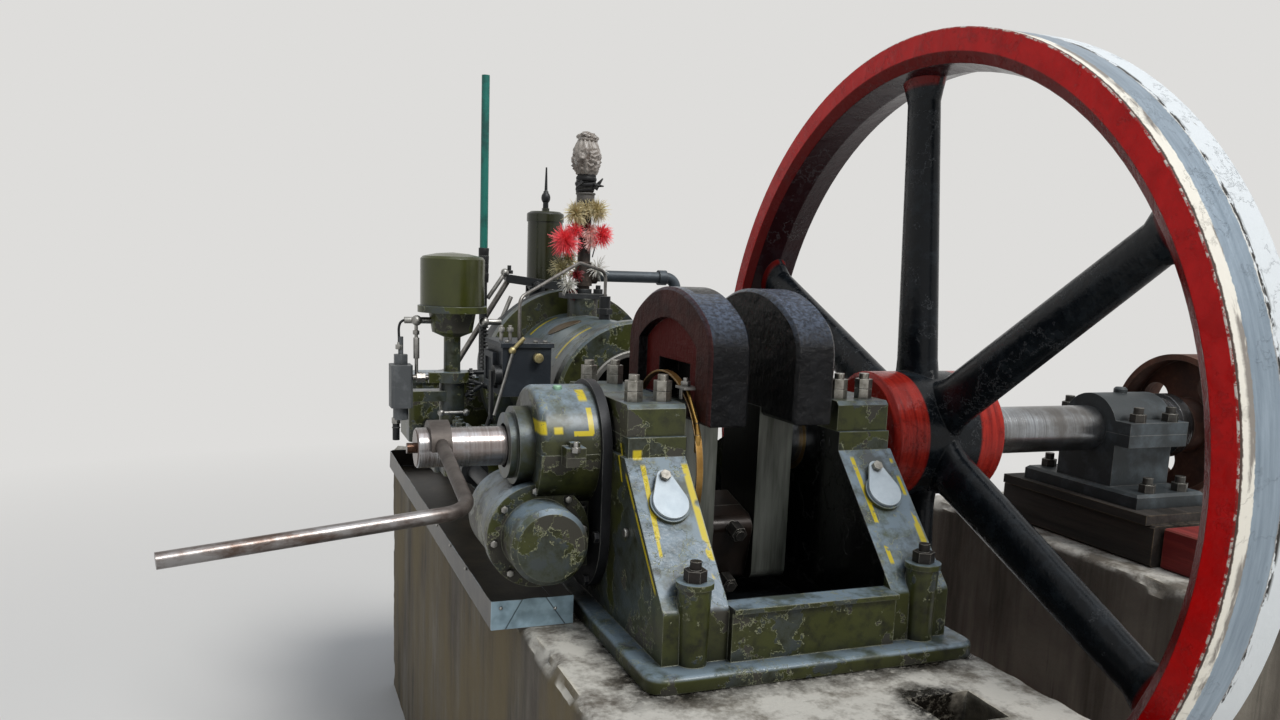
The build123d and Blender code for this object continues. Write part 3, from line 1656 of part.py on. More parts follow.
# Thin oil pipe from the lubricator over to the check valve
with BuildPart() as oil_pipe:
    pipe_start_x = (lubricator_left + lubricator_right) / 2
    pipe_start_y = (lubricator_front + lubricator_back) / 2
    pipe_start_z = shaft_z + lubricator_top + lubricator_lid
    pipe_crest_z = shaft_z + valve_height + oil_pipe_arch + oil_pipe_crest
    with BuildLine() as oil_route:
        FilletPolyline(
            (pipe_start_x, pipe_start_y, pipe_start_z),
            (pipe_start_x, pipe_start_y, pipe_start_z + oil_pipe_rise),
            (pipe_start_x / 3, (pipe_start_y + 2 * valve_y) / 3, pipe_crest_z),
            (0, valve_y, pipe_crest_z - oil_pipe_crest),
            (0, valve_y, shaft_z + valve_height),
            radius=oil_pipe_bend,
        )
    with BuildSketch(Plane(origin=oil_route.line @ 0, z_dir=oil_route.line % 0)) as oil_section:
        Circle(oil_pipe_radius)
    sweep(oil_section.sketch, path=oil_route.line)
save(oil_pipe, "oil_pipe")

# Folded sheet drip tray along the left edge of the plinth
with BuildPart() as drip_tray:
    block((tray_left, tray_front, -bed_height), (tray_right, tray_back, tray_height - bed_height))
    block(
        (tray_left + tray_sheet, tray_front + tray_sheet, tray_sheet - bed_height),
        (tray_right - tray_sheet, tray_back - tray_sheet, tray_height - bed_height),
        Mode.SUBTRACT,
    )
save(drip_tray, "drip_tray")

# Plastic breather pipe on a black lower length, sleeved where they join
with BuildPart() as breather_pipe:
    turned(
        upright(breather_x, breather_y),
        [
            (cam_box_top, 0),
            (cam_box_top, breather_collar_radius),
            (cam_box_top + breather_collar_height, breather_collar_radius),
            (cam_box_top + breather_collar_height, breather_radius),
            (breather_black_top, breather_radius),
            (breather_black_top, breather_sleeve_radius),
            (breather_black_top + breather_sleeve_length, breather_sleeve_radius),
            (breather_black_top + breather_sleeve_length, breather_radius),
            (breather_top, breather_radius),
            (breather_top, breather_radius - breather_wall),
            (breather_top - breather_bore_depth, breather_radius - breather_wall),
            (breather_top - breather_bore_depth, 0),
        ],
    )
save(breather_pipe, "breather_pipe")

# Outboard bearing: foot, body with a half-round seat and ears, cap and bolts
outboard_ear_y = outboard_half_width + outboard_ear
with BuildPart() as outboard_bearing:
    block(
        (outboard_foot_left, -outboard_foot_half_length, board_top),
        (outboard_foot_right, outboard_foot_half_length, board_top + outboard_foot_thickness),
    )
    chamfer(outboard_bearing.faces().sort_by(Axis.Z)[-1].edges(), outboard_chamfer)
    block((outboard_left, -outboard_half_width, board_top), (outboard_right, outboard_half_width, 0))
    block((outboard_left, -outboard_ear_y, -outboard_ear_thickness), (outboard_right, outboard_ear_y, 0))
    outboard_length = outboard_right - outboard_left
    disc(crossing(outboard_left), outboard_radius + running_clearance, outboard_length, Mode.SUBTRACT)
save(outboard_bearing, "outboard_bearing")

with BuildPart() as outboard_cap:
    with BuildSketch(crossing(outboard_left)):
        Circle(outboard_half_width)
        with Locations((0, outboard_ear_thickness / 2)):
            Rectangle(2 * outboard_ear_y, outboard_ear_thickness)
        with Locations((0, -outboard_half_width)):
            Rectangle(4 * outboard_half_width, 2 * outboard_half_width, mode=Mode.SUBTRACT)
        Circle(outboard_radius + running_clearance, mode=Mode.SUBTRACT)
    extrude(amount=outboard_length)
    outboard_middle = (outboard_left + outboard_right) / 2
    turned(
        upright(outboard_middle, 0),
        [
            (outboard_half_width - oil_cup_sink, 0),
            (outboard_half_width - oil_cup_sink, oil_cup_radius),
            (outboard_half_width + oil_cup_height - oil_cup_sink, oil_cup_radius),
            (outboard_half_width + oil_cup_height, oil_cup_radius - oil_cup_sink),
            (outboard_half_width + oil_cup_height, 0),
        ],
    )
save(outboard_cap, "outboard_cap")

with BuildPart() as outboard_bolts:
    foot_top = board_top + outboard_foot_thickness
    for y_side in (-1, 1):
        for x_side in (-1, 1):
            x = outboard_middle + x_side * outboard_bolt_spacing / 2
            ear_bolt = level(outboard_ear_thickness, x, y_side * outboard_bolt_y)
            foot_bolt = level(foot_top, x, y_side * outboard_foot_bolt_y)
            for bolt in (ear_bolt, foot_bolt):
                hexagon(bolt, outboard_nut_width, outboard_nut_height)
                disc(bolt, outboard_stud_radius, outboard_stud_stand)
save(outboard_bolts, "outboard_bolts")

# Swing covers: teardrop plates that turn on a bolt at their top
for side, name in ((-1, "cover_left"), (1, "cover_right")):
    with BuildPart() as cover:
        with BuildSketch(cover_face(side).offset(rim_height + cover_gap)):
            with Locations((0, cover_rise)):
                Circle(cover_radius)
            with Locations((0, pivot_rise)):
                Circle(pivot_end_radius)
            make_hull()
            with Locations((0, pivot_rise)):
                Circle(cover_bolt_radius + running_clearance, mode=Mode.SUBTRACT)
        extrude(amount=cover_thickness)
    save(cover, name)

with BuildPart() as cover_bolts:
    for side in (-1, 1):
        pivot = cover_pivot(side)
        head_seat = rim_height + 2 * cover_gap + cover_thickness
        shank = pivot.offset(rim_height - cover_bolt_depth)
        disc(shank, cover_bolt_radius, cover_bolt_depth - rim_height + head_seat)
        hexagon(pivot.offset(head_seat), cover_bolt_width, cover_bolt_head)
save(cover_bolts, "cover_bolts")
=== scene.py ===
import json
import random
from math import atan2, cos, pi, radians, sin, tau

import bmesh
import bpy
from mathutils import Matrix, Vector, noise


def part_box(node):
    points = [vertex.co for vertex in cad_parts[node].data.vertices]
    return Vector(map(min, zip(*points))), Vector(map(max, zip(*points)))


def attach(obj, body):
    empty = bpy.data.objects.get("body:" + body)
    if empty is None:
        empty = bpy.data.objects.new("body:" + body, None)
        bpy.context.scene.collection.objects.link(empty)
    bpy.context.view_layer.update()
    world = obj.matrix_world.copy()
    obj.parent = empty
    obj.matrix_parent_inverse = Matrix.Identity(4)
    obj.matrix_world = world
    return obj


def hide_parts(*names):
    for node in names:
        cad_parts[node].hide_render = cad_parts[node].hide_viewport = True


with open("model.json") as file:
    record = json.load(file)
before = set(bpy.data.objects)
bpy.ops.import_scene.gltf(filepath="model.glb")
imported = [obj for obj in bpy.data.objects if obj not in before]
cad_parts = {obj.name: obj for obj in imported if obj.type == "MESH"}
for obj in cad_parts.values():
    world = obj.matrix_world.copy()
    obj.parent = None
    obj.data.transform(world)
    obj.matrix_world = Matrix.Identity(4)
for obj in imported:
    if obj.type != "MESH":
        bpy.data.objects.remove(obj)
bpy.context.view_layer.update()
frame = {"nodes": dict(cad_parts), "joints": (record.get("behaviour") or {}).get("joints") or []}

# Engine plinth and outboard pier. Rough cast concrete, poured in place: the top edges are chipped pale,
# rain and oil have run down the sides, and the plinth's top is black with oil round the bed and its pocket.
crank_z = next(joint["pos_m"][2] for joint in frame["joints"] if joint["name"] == "crank_spin")
least_chip, deepest_chip, skin_depth = 0.010, 0.030, 0.0025
grain_cell = 0.015
pocket_left, pocket_right, pocket_front, pocket_back, pocket_depth = 0.0775, 0.1825, -0.605, -0.515, 0.075
pool_centre = Vector((0.120, -0.545, 0.0))


def tint(code):
    """Linear colour of a six-digit screen colour code."""
    steps = [int(code[i:i + 2], 16) / 255 for i in (0, 2, 4)]
    return (*[c / 12.92 if c <= 0.04045 else ((c + 0.055) / 1.055) ** 2.4 for c in steps], 1.0)


class Finish:
    """A finish made of patterns in metres on the piece's own coordinates."""

    def __init__(self, name):
        self.material = bpy.data.materials.new(name)
        self.material.use_nodes = True
        self.tree = self.material.node_tree
        self.shader = self.tree.nodes["Principled BSDF"]
        where = self.tree.nodes.new("ShaderNodeTexCoord")
        self.place, self.facing = where.outputs["Object"], where.outputs["Normal"]

    def put(self, socket, value):
        """Link or set one input. A screen colour code is turned into its colour."""
        if isinstance(value, bpy.types.NodeSocket):
            self.tree.links.new(value, socket)
        elif isinstance(value, str):
            socket.default_value = tint(value)
        else:
            socket.default_value = value

    def add(self, kind, *values, **settings):
        """New node with its first inputs filled in order."""
        node = self.tree.nodes.new("ShaderNode" + kind)
        for key, value in settings.items():
            setattr(node, key, value)
        for socket, value in zip(node.inputs, values):
            self.put(socket, value)
        return node

    def math(self, operation, first, second=0.0):
        """One step of arithmetic."""
        return self.add("Math", first, second, operation=operation).outputs[0]

    def plus(self, first, second):
        """Sum of two values."""
        return self.math("ADD", first, second)

    def minus(self, first, second):
        """First value less the second."""
        return self.math("SUBTRACT", first, second)

    def times(self, first, second):
        """Product of two values."""
        return self.math("MULTIPLY", first, second)

    def size_of(self, value):
        """Value without its sign."""
        return self.math("ABSOLUTE", value)

    def all_of(self, *masks):
        """Where every mask holds."""
        result = masks[0]
        for mask in masks[1:]:
            result = self.times(result, mask)
        return result

    def any_of(self, *masks):
        """Where at least one mask holds."""
        result = masks[0]
        for mask in masks[1:]:
            result = self.math("MAXIMUM", result, mask)
        return result

    def part(self, vector, axis):
        """One component of a vector."""
        return self.add("SeparateXYZ", vector).outputs[axis]

    def moved(self, stretch, shift=(0.0, 0.0, 0.0)):
        """The coordinates scaled by stretch and shifted, in metres."""
        node = self.add("VectorMath", self.place, stretch, shift, operation="MULTIPLY_ADD")
        return node.outputs[0]

    def patches(self, scale, detail=4.0, rough=0.55, stretch=(1.0, 1.0, 1.0), shift=0.0):
        """Cloudy pattern with about scale patches a metre, from 0 to 1."""
        place = self.moved(stretch, (shift, shift, shift))
        node = self.add("TexNoise", noise_dimensions="3D")
        self.put(node.inputs["Vector"], place)
        for key, value in (("Scale", scale), ("Detail", detail), ("Roughness", rough)):
            self.put(node.inputs[key], value)
        return node.outputs["Fac"]

    def between(self, value, low, high):
        """0 below low and 1 above high, or the other way round where low is the larger."""
        node = self.add("MapRange", value, low, high, 0.0, 1.0, clamp=True)
        return node.outputs[0]

    def near(self, value, centre, half_width, soft=0.001):
        """1 within half_width of the centre."""
        gap = self.size_of(self.minus(value, centre))
        return self.between(gap, half_width + soft, half_width)

    def over(self, under, upper, mask):
        """Upper colour laid over the under colour where the mask holds."""
        node = self.add("Mix", data_type="RGBA")
        self.put(node.inputs[0], mask)
        self.put(node.inputs[6], under)
        self.put(node.inputs[7], upper)
        return node.outputs[2]

    def level(self, under, upper, mask):
        """One number going over to another where the mask holds."""
        node = self.add("Mix", data_type="FLOAT")
        self.put(node.inputs[0], mask)
        self.put(node.inputs[2], under)
        self.put(node.inputs[3], upper)
        return node.outputs[0]

    def edges(self, radius, sharp=0.12):
        """Worn corners and rims."""
        soft = self.add("Bevel", radius, samples=6).outputs[0]
        true = self.add("NewGeometry").outputs["Normal"]
        agree = self.add("VectorMath", soft, true, operation="DOT_PRODUCT").outputs["Value"]
        return self.between(agree, 1.0 - sharp * 0.1, 1.0 - sharp)

    def dirt_and_shade_in_hollows(self, distance):
        """Corners and crevices where oil and dirt stay, and where shade is painted in."""
        node = self.add("AmbientOcclusion", samples=8)
        self.put(node.inputs["Distance"], distance)
        return self.between(node.outputs["AO"], 0.75, 0.25)

    def rounded(self, radius):
        """Shading normal with softened corners."""
        return self.add("Bevel", radius, samples=6).outputs[0]

    def radius(self, centre, first, second):
        """Distance from an axis through a point, across two of the coordinates."""
        squares = []
        for axis in (first, second):
            gap = self.minus(self.part(self.place, axis), centre[axis])
            squares.append(self.times(gap, gap))
        return self.math("SQRT", self.plus(*squares))

    def close(self, colour, rough, height=None, depth=0.001, metal=None, normal=None, shine=0.5):
        """Wire the patterns to the shader. Depth is the height of the relief in metres."""
        self.put(self.shader.inputs["Specular IOR Level"], shine)
        self.put(self.shader.inputs["Base Color"], colour)
        self.put(self.shader.inputs["Roughness"], rough)
        if metal is not None:
            self.put(self.shader.inputs["Metallic"], metal)
        if height is not None:
            bump = self.add("Bump")
            self.put(bump.inputs["Height"], height)
            bump.inputs["Distance"].default_value = depth
            bump.inputs["Strength"].default_value = 1.0
            if normal is not None:
                self.put(bump.inputs["Normal"], normal)
            normal = bump.outputs[0]
        if normal is not None:
            self.put(self.shader.inputs["Normal"], normal)
        return self.material


def fit(name, mesh, material, body, slot, *replaced, smooth=35.0):
    """Turn a bmesh into a piece that rides on a body."""
    bmesh.ops.remove_doubles(mesh, verts=mesh.verts, dist=1e-5)
    bmesh.ops.recalc_face_normals(mesh, faces=mesh.faces)
    data = bpy.data.meshes.new(name)
    mesh.to_mesh(data)
    mesh.free()
    data.shade_smooth()
    data.set_sharp_from_angle(angle=radians(smooth))
    data.materials.append(material)
    thing = bpy.data.objects.new(name, data)
    bpy.context.scene.collection.objects.link(thing)
    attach(thing, body)
    if replaced:
        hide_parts(*replaced)
    return thing


def slab(mesh, low, high):
    """Plain block between two corners."""
    low, high = Vector(low), Vector(high)
    place = Matrix.Translation((low + high) / 2) @ Matrix.Diagonal((*(high - low), 1.0))
    return bmesh.ops.create_cube(mesh, size=1.0, matrix=place)["verts"]


def running(mesh, axis):
    """Edges that run along one axis."""
    return [e for e in mesh.edges if abs((e.verts[0].co - e.verts[1].co)[axis]) > 0.9 * e.calc_length()]


def cast_block(node, cell, pocket=None):
    """Concrete block with chipped edges and a rough skin, in the place of a plain one."""
    low, high = (Vector(corner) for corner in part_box(node))
    mesh = bmesh.new()
    slab(mesh, low, high)
    for axis in range(3):
        cuts = round((high - low)[axis] / cell) - 1
        bmesh.ops.subdivide_edges(mesh, edges=running(mesh, axis), cuts=cuts, use_grid_fill=True)
    if pocket:
        left, front, right, back, depth = pocket
        inside = []
        for face in mesh.faces:
            middle = face.calc_center_median()
            if face.normal.z > 0.9 and left < middle.x < right and front < middle.y < back:
                inside.append(face)
        grown = bmesh.ops.extrude_face_region(mesh, geom=inside)["geom"]
        bmesh.ops.delete(mesh, geom=inside, context="FACES")
        sunk = [v for v in grown if isinstance(v, bmesh.types.BMVert)]
        bmesh.ops.translate(mesh, verts=sunk, vec=(0, 0, -depth))
        walls = [e for e in mesh.edges if abs((e.verts[0].co - e.verts[1].co).z) > 0.9 * depth]
        bmesh.ops.subdivide_edges(mesh, edges=walls, cuts=4, use_grid_fill=True)
    for vertex in mesh.verts:
        point = vertex.co.copy()
        below, above = point - low, high - point
        gaps = [min(below.x, above.x), min(below.y, above.y), above.z]
        broken = max(0.0, noise.fractal(point * 9, 0.9, 2.1, 5))
        chip = least_chip + deepest_chip * broken + 0.006 * noise.noise(point * 60)
        inward = Vector((0.0, 0.0, 0.0))
        for first, second in ((0, 2), (1, 2), (0, 1)):
            short = chip - gaps[first] - gaps[second]
            if short > 0:
                inward[first] += short / 2
                inward[second] += short / 2
        skin = skin_depth * max(0.0, 0.5 + 0.5 * noise.fractal(point * 22, 0.8, 2.0, 4))
        for axis in range(3):
            if gaps[axis] < 1e-4:
                inward[axis] += skin
        middle = (low + high) / 2
        side = [1 if point.x < middle.x else -1, 1 if point.y < middle.y else -1, -1]
        vertex.co = point + Vector([inward[axis] * side[axis] for axis in range(3)])
    return mesh


def concrete(name, top_z, wet):
    """Stained concrete. Wet gives the half width and front edge of what the oil round the bed has soaked."""
    stone = Finish(name)
    cloud = stone.patches(3.5, 6.0, 0.6)
    grain = stone.patches(90.0, 5.0, 0.7)
    streak = stone.patches(9.0, 5.0, 0.65, (1.0, 1.0, 0.10))
    fine_streak = stone.patches(40.0, 3.0, 0.6, (1.0, 1.0, 0.06), 3.0)
    colour = stone.over("7d776b", "59524a", stone.between(cloud, 0.35, 0.68))
    up = stone.between(stone.part(stone.facing, 2), 0.3, 0.8)
    side = stone.minus(1.0, up)
    colour = stone.over(colour, "3a342b", stone.all_of(side, stone.between(streak, 0.42, 0.66)))
    colour = stone.over(colour, "2d271f", stone.all_of(side, stone.between(fine_streak, 0.62, 0.80)))
    pale = stone.patches(14.0, 6.0, 0.7, shift=5.0)
    colour = stone.over(colour, "c2beb4", stone.all_of(up, stone.between(pale, 0.38, 0.56)))
    height_z = stone.part(stone.place, 2)
    rim = stone.all_of(stone.between(height_z, top_z - 0.05, top_z - 0.006), stone.edges(0.02, 0.25))
    colour = stone.over(colour, "d6cebb", rim)
    soaked = stone.all_of(stone.between(height_z, top_z - 0.02, top_z - 0.05), up)
    if wet:
        wide = stone.minus(stone.size_of(stone.part(stone.place, 0)), wet[0])
        ahead = stone.minus(wet[1], stone.part(stone.place, 1))
        reach = stone.plus(stone.math("MAXIMUM", wide, ahead), stone.times(pale, 0.10))
        near_bed = stone.between(reach, 0.105, 0.045)
        pool = stone.radius(pool_centre, 0, 1)
        ragged = stone.plus(pool, stone.times(pale, 0.12))
        soaked = stone.any_of(soaked, stone.all_of(up, near_bed), stone.between(ragged, 0.155, 0.115))
        left_side = stone.between(stone.part(stone.facing, 0), -0.5, -0.9)
        mud = stone.between(stone.patches(5.0, 5.0, 0.6, (1, 1, 0.3), 8.0), 0.4, 0.6)
        colour = stone.over(colour, "6b5f45", stone.all_of(left_side, mud))
    colour = stone.over(colour, "16130f", stone.all_of(soaked, stone.between(grain, 0.25, 0.5)))
    rough = stone.level(0.92, 0.25, soaked)
    relief = stone.plus(stone.times(grain, 0.5), cloud)
    return stone.close(colour, rough, relief, 0.004)


plinth_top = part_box("engine_plinth")[1][2]
bed_low, bed_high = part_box("bed_frame")
pocket = (pocket_left, pocket_front, pocket_right, pocket_back, pocket_depth)
plinth = cast_block("engine_plinth", grain_cell, pocket)
plinth_stone = concrete("plinth concrete", plinth_top, (bed_high[0], bed_low[1]))
fit("plinth_concrete", plinth, plinth_stone, "engine", "concrete", "engine_plinth")
pier_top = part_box("outboard_pier")[1][2]
pier = cast_block("outboard_pier", grain_cell)
fit("pier_concrete", pier, concrete("pier concrete", pier_top, None), "engine", "concrete", "outboard_pier")


# Timber beam, board and red block on the pier. Sawn timber laid under the outboard bearing, soaked black
# with oil, with open grain along its length. The red block is a loose piece of painted wood.
def dress(material, *names):
    """Give CAD pieces a finish."""
    for name in names:
        thing = frame["nodes"][name]
        for slot in thing.material_slots:
            slot.material = material


def timber(name, dark, light, gloss):
    """Sawn wood with its grain along Y."""
    wood = Finish(name)
    grain = wood.patches(55.0, 6.0, 0.7, (1.0, 0.05, 1.0))
    coarse = wood.patches(9.0, 4.0, 0.6, (1.0, 0.12, 1.0), 2.0)
    colour = wood.over(dark, light, wood.between(grain, 0.42, 0.70))
    colour = wood.over(colour, "0d0b09", wood.between(coarse, 0.55, 0.75))
    colour = wood.over(colour, "6a5c49", wood.all_of(wood.edges(0.004), wood.between(grain, 0.4, 0.6)))
    rough = wood.level(gloss, 0.85, wood.between(coarse, 0.4, 0.6))
    return wood.close(colour, rough, grain, 0.0015)


dress(timber("oiled timber", "17130f", "37302a", 0.45), "pier_timber", "pier_board")
dress(timber("red painted wood", "6a1614", "8f2f28", 0.55), "pier_block")


# Bed casting, bearing caps, gear case, cylinder jacket and the other olive castings. Grey iron under
# many coats of olive enamel, flaked in islands with pale rims; an oil film makes the upper faces glossier
# and a grey-blue sky reflection is painted on them, and the pit inside the bed is black.
slope_foot = Vector((0.0, -0.360, crank_z - 0.195))
slope_head = Vector((0.0, -0.172, crank_z + 0.005))
slope_run = (slope_head - slope_foot).normalized()
slope_out = Vector((0.0, -slope_run.z, slope_run.y))


def olive(name, marks=None, flaking=0.0, sheen=1.0):
    """Oily olive enamel. Marks returns masks of yellow lines and of black oily places."""
    paint = Finish(name)
    islands = paint.patches(11.0, 7.0, 0.62)
    mottle = paint.patches(38.0, 5.0, 0.65, shift=4.0)
    drift = paint.patches(4.0, 3.0, 0.5, shift=9.0)
    limit, slate_limit = 0.575 - flaking, 0.511
    bare = paint.between(islands, limit, limit + 0.006)
    rim = paint.near(islands, limit, 0.003, 0.003)
    colour = paint.over("33351a", "454a1b", paint.between(drift, 0.35, 0.65))
    colour = paint.over(colour, "17180e", paint.between(mottle, 0.46, 0.72))
    slate = paint.patches(7.0, 8.0, 0.62, shift=14.0)
    within = paint.between(slate, slate_limit - 0.006, slate_limit + 0.007)
    patch = paint.all_of(within, paint.between(mottle, 0.70, 0.40))
    colour = paint.over(colour, "3d4449", paint.times(patch, 0.8))
    colour = paint.over(colour, "3c3a32", bare)
    # Painted sky reflection: a grey-blue sheen laid on the upward faces in broken patches. The oil film
    # itself only lowers their roughness.
    up = paint.between(paint.part(paint.facing, 2), 0.20, 0.70)
    sheen_patches = paint.between(paint.patches(15.0, 8.0, 0.66, shift=1.5), 0.40, 0.53)
    film_and_sheen = paint.all_of(up, paint.level(0.22, 1.0, sheen_patches))
    colour = paint.over(colour, "8394a0", paint.times(film_and_sheen, 0.8 * sheen))
    cracks = paint.all_of(paint.near(slate, slate_limit, 0.0022, 0.0015), paint.between(mottle, 0.42, 0.56))
    pale_rim = paint.all_of(rim, paint.between(mottle, 0.3, 0.6))
    colour = paint.over(colour, "8d8f70", paint.any_of(pale_rim, cracks))
    # Hollows darkened nearly black: oily dirt, and painted shade where light falls short.
    hollow_dirt_and_shade = paint.dirt_and_shade_in_hollows(0.06)
    colour = paint.over(colour, "0b0b08", paint.times(hollow_dirt_and_shade, 0.92))
    corner = paint.all_of(paint.edges(0.003), paint.between(mottle, 0.35, 0.55))
    colour = paint.over(colour, "8b8d78", paint.times(corner, 0.7))
    rough = paint.level(0.34, 0.5, bare)
    rough = paint.level(rough, 0.26, paint.times(film_and_sheen, 0.8))
    relief = paint.minus(paint.times(mottle, 0.35), paint.times(bare, 0.6))
    relief = paint.plus(relief, paint.times(patch, 0.5))
    if marks:
        yellow, black = marks(paint)
        chipped = paint.between(paint.patches(60.0, 5.0, 0.7, shift=7.0), 0.66, 0.60)
        colour = paint.over(colour, "c9b41e", paint.all_of(yellow, chipped))
        colour = paint.over(colour, "0a0b0d", black)
        rough = paint.level(rough, 0.2, black)
    return paint.close(colour, rough, relief, 0.0014, normal=paint.rounded(0.0025), shine=0.4)


def bed_marks(paint):
    """Pin stripes along the slopes and down the left wall, and the oily pit.

    The stripes stand in pairs on each slope, at these distances from the engine's middle.
    """
    left_outer, left_inner, right_inner, right_outer = -0.238, -0.1535, 0.1685, 0.247
    wall_x, pit_half_width, rail_back, pit_back = -0.247, 0.147, -0.335, 0.4475
    x, y, z = (paint.part(paint.place, axis) for axis in range(3))
    wide = paint.size_of(x)
    along = paint.plus(paint.times(y, slope_run.y), paint.times(z, slope_run.z))
    along = paint.minus(along, slope_foot.dot(slope_run))
    across = paint.plus(paint.times(y, slope_out.y), paint.times(z, slope_out.z))
    across = paint.minus(across, slope_foot.dot(slope_out))
    on_slope = paint.near(across, 0.0, 0.002)
    dashes = paint.between(paint.patches(16.0, 2.0, 0.5, shift=3.0), 0.47, 0.50)
    length = slope_head.dot(slope_run) - slope_foot.dot(slope_run)
    below_head = paint.between(along, length - 0.012, length - 0.018)
    span = paint.all_of(paint.between(along, 0.050, 0.055), below_head)
    leaning = paint.minus(x, paint.times(along, 0.012 / length))
    high_half = paint.between(along, length * 0.45, length * 0.47)
    outer = paint.any_of(
        paint.all_of(paint.near(leaning, left_outer, 0.0038), high_half),
        paint.all_of(paint.near(leaning, left_outer - 0.001, 0.0024), dashes),
        paint.all_of(paint.near(x, right_outer, 0.0026), dashes),
        paint.all_of(paint.near(x, right_outer - 0.001, 0.0042, 0.003),
                     paint.near(along, length * 0.38, 0.016, 0.005)),
    )
    inner = paint.any_of(paint.near(x, left_inner, 0.0040, 0.003), paint.near(x, right_inner, 0.0034))
    front = paint.all_of(on_slope, span, paint.any_of(outer, paint.all_of(inner, dashes)))
    wall = paint.between(x, wall_x, wall_x - 0.0015)
    beside = paint.near(across, -0.010, 0.0026)
    curve = paint.all_of(wall, beside, paint.between(along, 0.035, 0.045),
                         paint.between(along, length - 0.02, length - 0.03))
    high = paint.minus(z, crank_z)
    upright = paint.minus(y, paint.times(high, 0.477))
    riser = paint.all_of(wall, paint.near(upright, -0.1475, 0.0026), paint.near(high, -0.006, 0.029))
    blot = paint.all_of(paint.near(x, -0.233, 0.006, 0.003), paint.near(high, 0.010, 0.006, 0.003),
                        paint.between(y, -0.165, -0.170))
    inside = paint.between(wide, pit_half_width + 0.0005, pit_half_width - 0.0005)
    behind_rail = paint.between(y, rail_back - 0.001, rail_back + 0.001)
    pit = paint.all_of(inside, behind_rail, paint.between(y, pit_back + 0.0015, pit_back - 0.0015))
    return paint.any_of(front, curve, riser, blot), paint.times(pit, 0.97)


dress(olive("bed enamel", bed_marks), "bed_frame")
dress(olive("cap enamel", flaking=0.05, sheen=0.5), "main_cap_left", "main_cap_right")
dress(olive("casting enamel"), "side_shaft_bearing", "cam_box", "governor_column")


def case_marks(paint):
    """Yellow brush marks on the upper gear case."""
    x, y, z = (paint.part(paint.place, axis) for axis in range(3))
    high = paint.minus(z, crank_z)
    front = paint.between(y, -0.030, -0.034)
    stroke = paint.all_of(paint.near(x, -0.2875, 0.0042), paint.near(high, 0.054, 0.020))
    foot = paint.all_of(paint.near(high, 0.0345, 0.0036), paint.near(x, -0.3015, 0.0165))
    blot = paint.all_of(paint.near(high, 0.044, 0.008, 0.004), paint.near(x, -0.371, 0.0045, 0.003))
    dab = paint.all_of(paint.near(high, 0.040, 0.004, 0.003), paint.near(x, -0.345, 0.006, 0.003))
    crown = paint.all_of(paint.near(x, -0.293, 0.006, 0.003), paint.near(y, -0.046, 0.013, 0.006))
    return paint.all_of(front, paint.any_of(stroke, foot, blot, dab, crown)), 0.0


dress(olive("case enamel", case_marks, flaking=-0.01), "gear_case_upper")
dress(olive("case lower enamel", flaking=0.03), "gear_case_lower")


def jacket_marks(paint):
    """Yellow arcs round the jacket."""
    x, y, z = (paint.part(paint.place, axis) for axis in range(3))
    left = paint.between(x, -0.020, -0.030)
    high = paint.minus(z, crank_z)
    near_arc = paint.all_of(paint.near(y, 0.587, 0.0055), paint.near(high, 0.128, 0.036))
    far_arc = paint.all_of(paint.near(y, 0.910, 0.0055), paint.near(high, 0.145, 0.023))
    return paint.all_of(left, paint.any_of(near_arc, far_arc)), 0.0


dress(olive("jacket enamel", jacket_marks, flaking=-0.02, sheen=0.6), "cylinder_jacket")


# Bore, liner and piston. The liner is honed pale iron, oiled; the bore and piston behind it are black.
def steel(name, base, dark, rough, lines=(1.0, 1.0, 1.0), scale=60.0, stain=0.35, metal=0.9, depth=0.0003):
    """Machined steel with tool lines along the axis whose stretch is smallest."""
    bare = Finish(name)
    tool = bare.patches(scale, 4.0, 0.7, lines)
    soil = bare.patches(7.0, 6.0, 0.65, shift=6.0)
    colour = bare.over(base, dark, bare.between(tool, 0.40, 0.72))
    colour = bare.over(colour, "3a2a1c", bare.times(bare.between(soil, 0.48, 0.70), stain))
    # Hollows darkened: oily dirt, and painted shade.
    colour = bare.over(colour, "0e0c0a", bare.times(bare.dirt_and_shade_in_hollows(0.02), 0.8))
    edge = bare.edges(0.0015)
    colour = bare.over(colour, "c9c5ba", bare.times(edge, 0.5))
    dulled = bare.level(rough, rough + 0.2, bare.between(soil, 0.4, 0.6))
    return bare.close(colour, dulled, tool, depth, metal, bare.rounded(0.001))


dress(steel("honed liner", "8e8c88", "6a6862", 0.35, stain=0.15), "cylinder_liner")
dress(steel("piston iron", "2a2826", "151413", 0.4), "piston")


# Caps' studs and nuts, foundation bolts and the other nuts. Plain steel hexagons, brown with old oil,
# with bright corners where spanners have been.
dress(steel("stud steel", "a3a098", "5f5b53", 0.30, stain=0.35, metal=0.85), "cap_studs", "cover_bolts")
dress(steel("bearing bolt steel", "4d4c48", "2c2a27", 0.42, stain=0.4, metal=0.6), "outboard_bolts")
foundation_steel = steel("foundation steel", "2f2d2c", "1b1a19", 0.42, stain=0.3, metal=0.6)
dress(foundation_steel, "foundation_bolts", "head_nuts")
dress(steel("brass bush", "a5844a", "6d5126", 0.3, stain=0.4), "main_brasses")

# Swing covers. Cast aluminium teardrops, rubbed bright by hand. Each lies on the oval rim of its slope and
# turns on one bolt at its narrow end.
cover_metal = steel("polished cover", "bcc6cc", "a6b2ba", 0.48, scale=25.0, stain=0.0, metal=0.2)
dress(cover_metal, "cover_left", "cover_right")

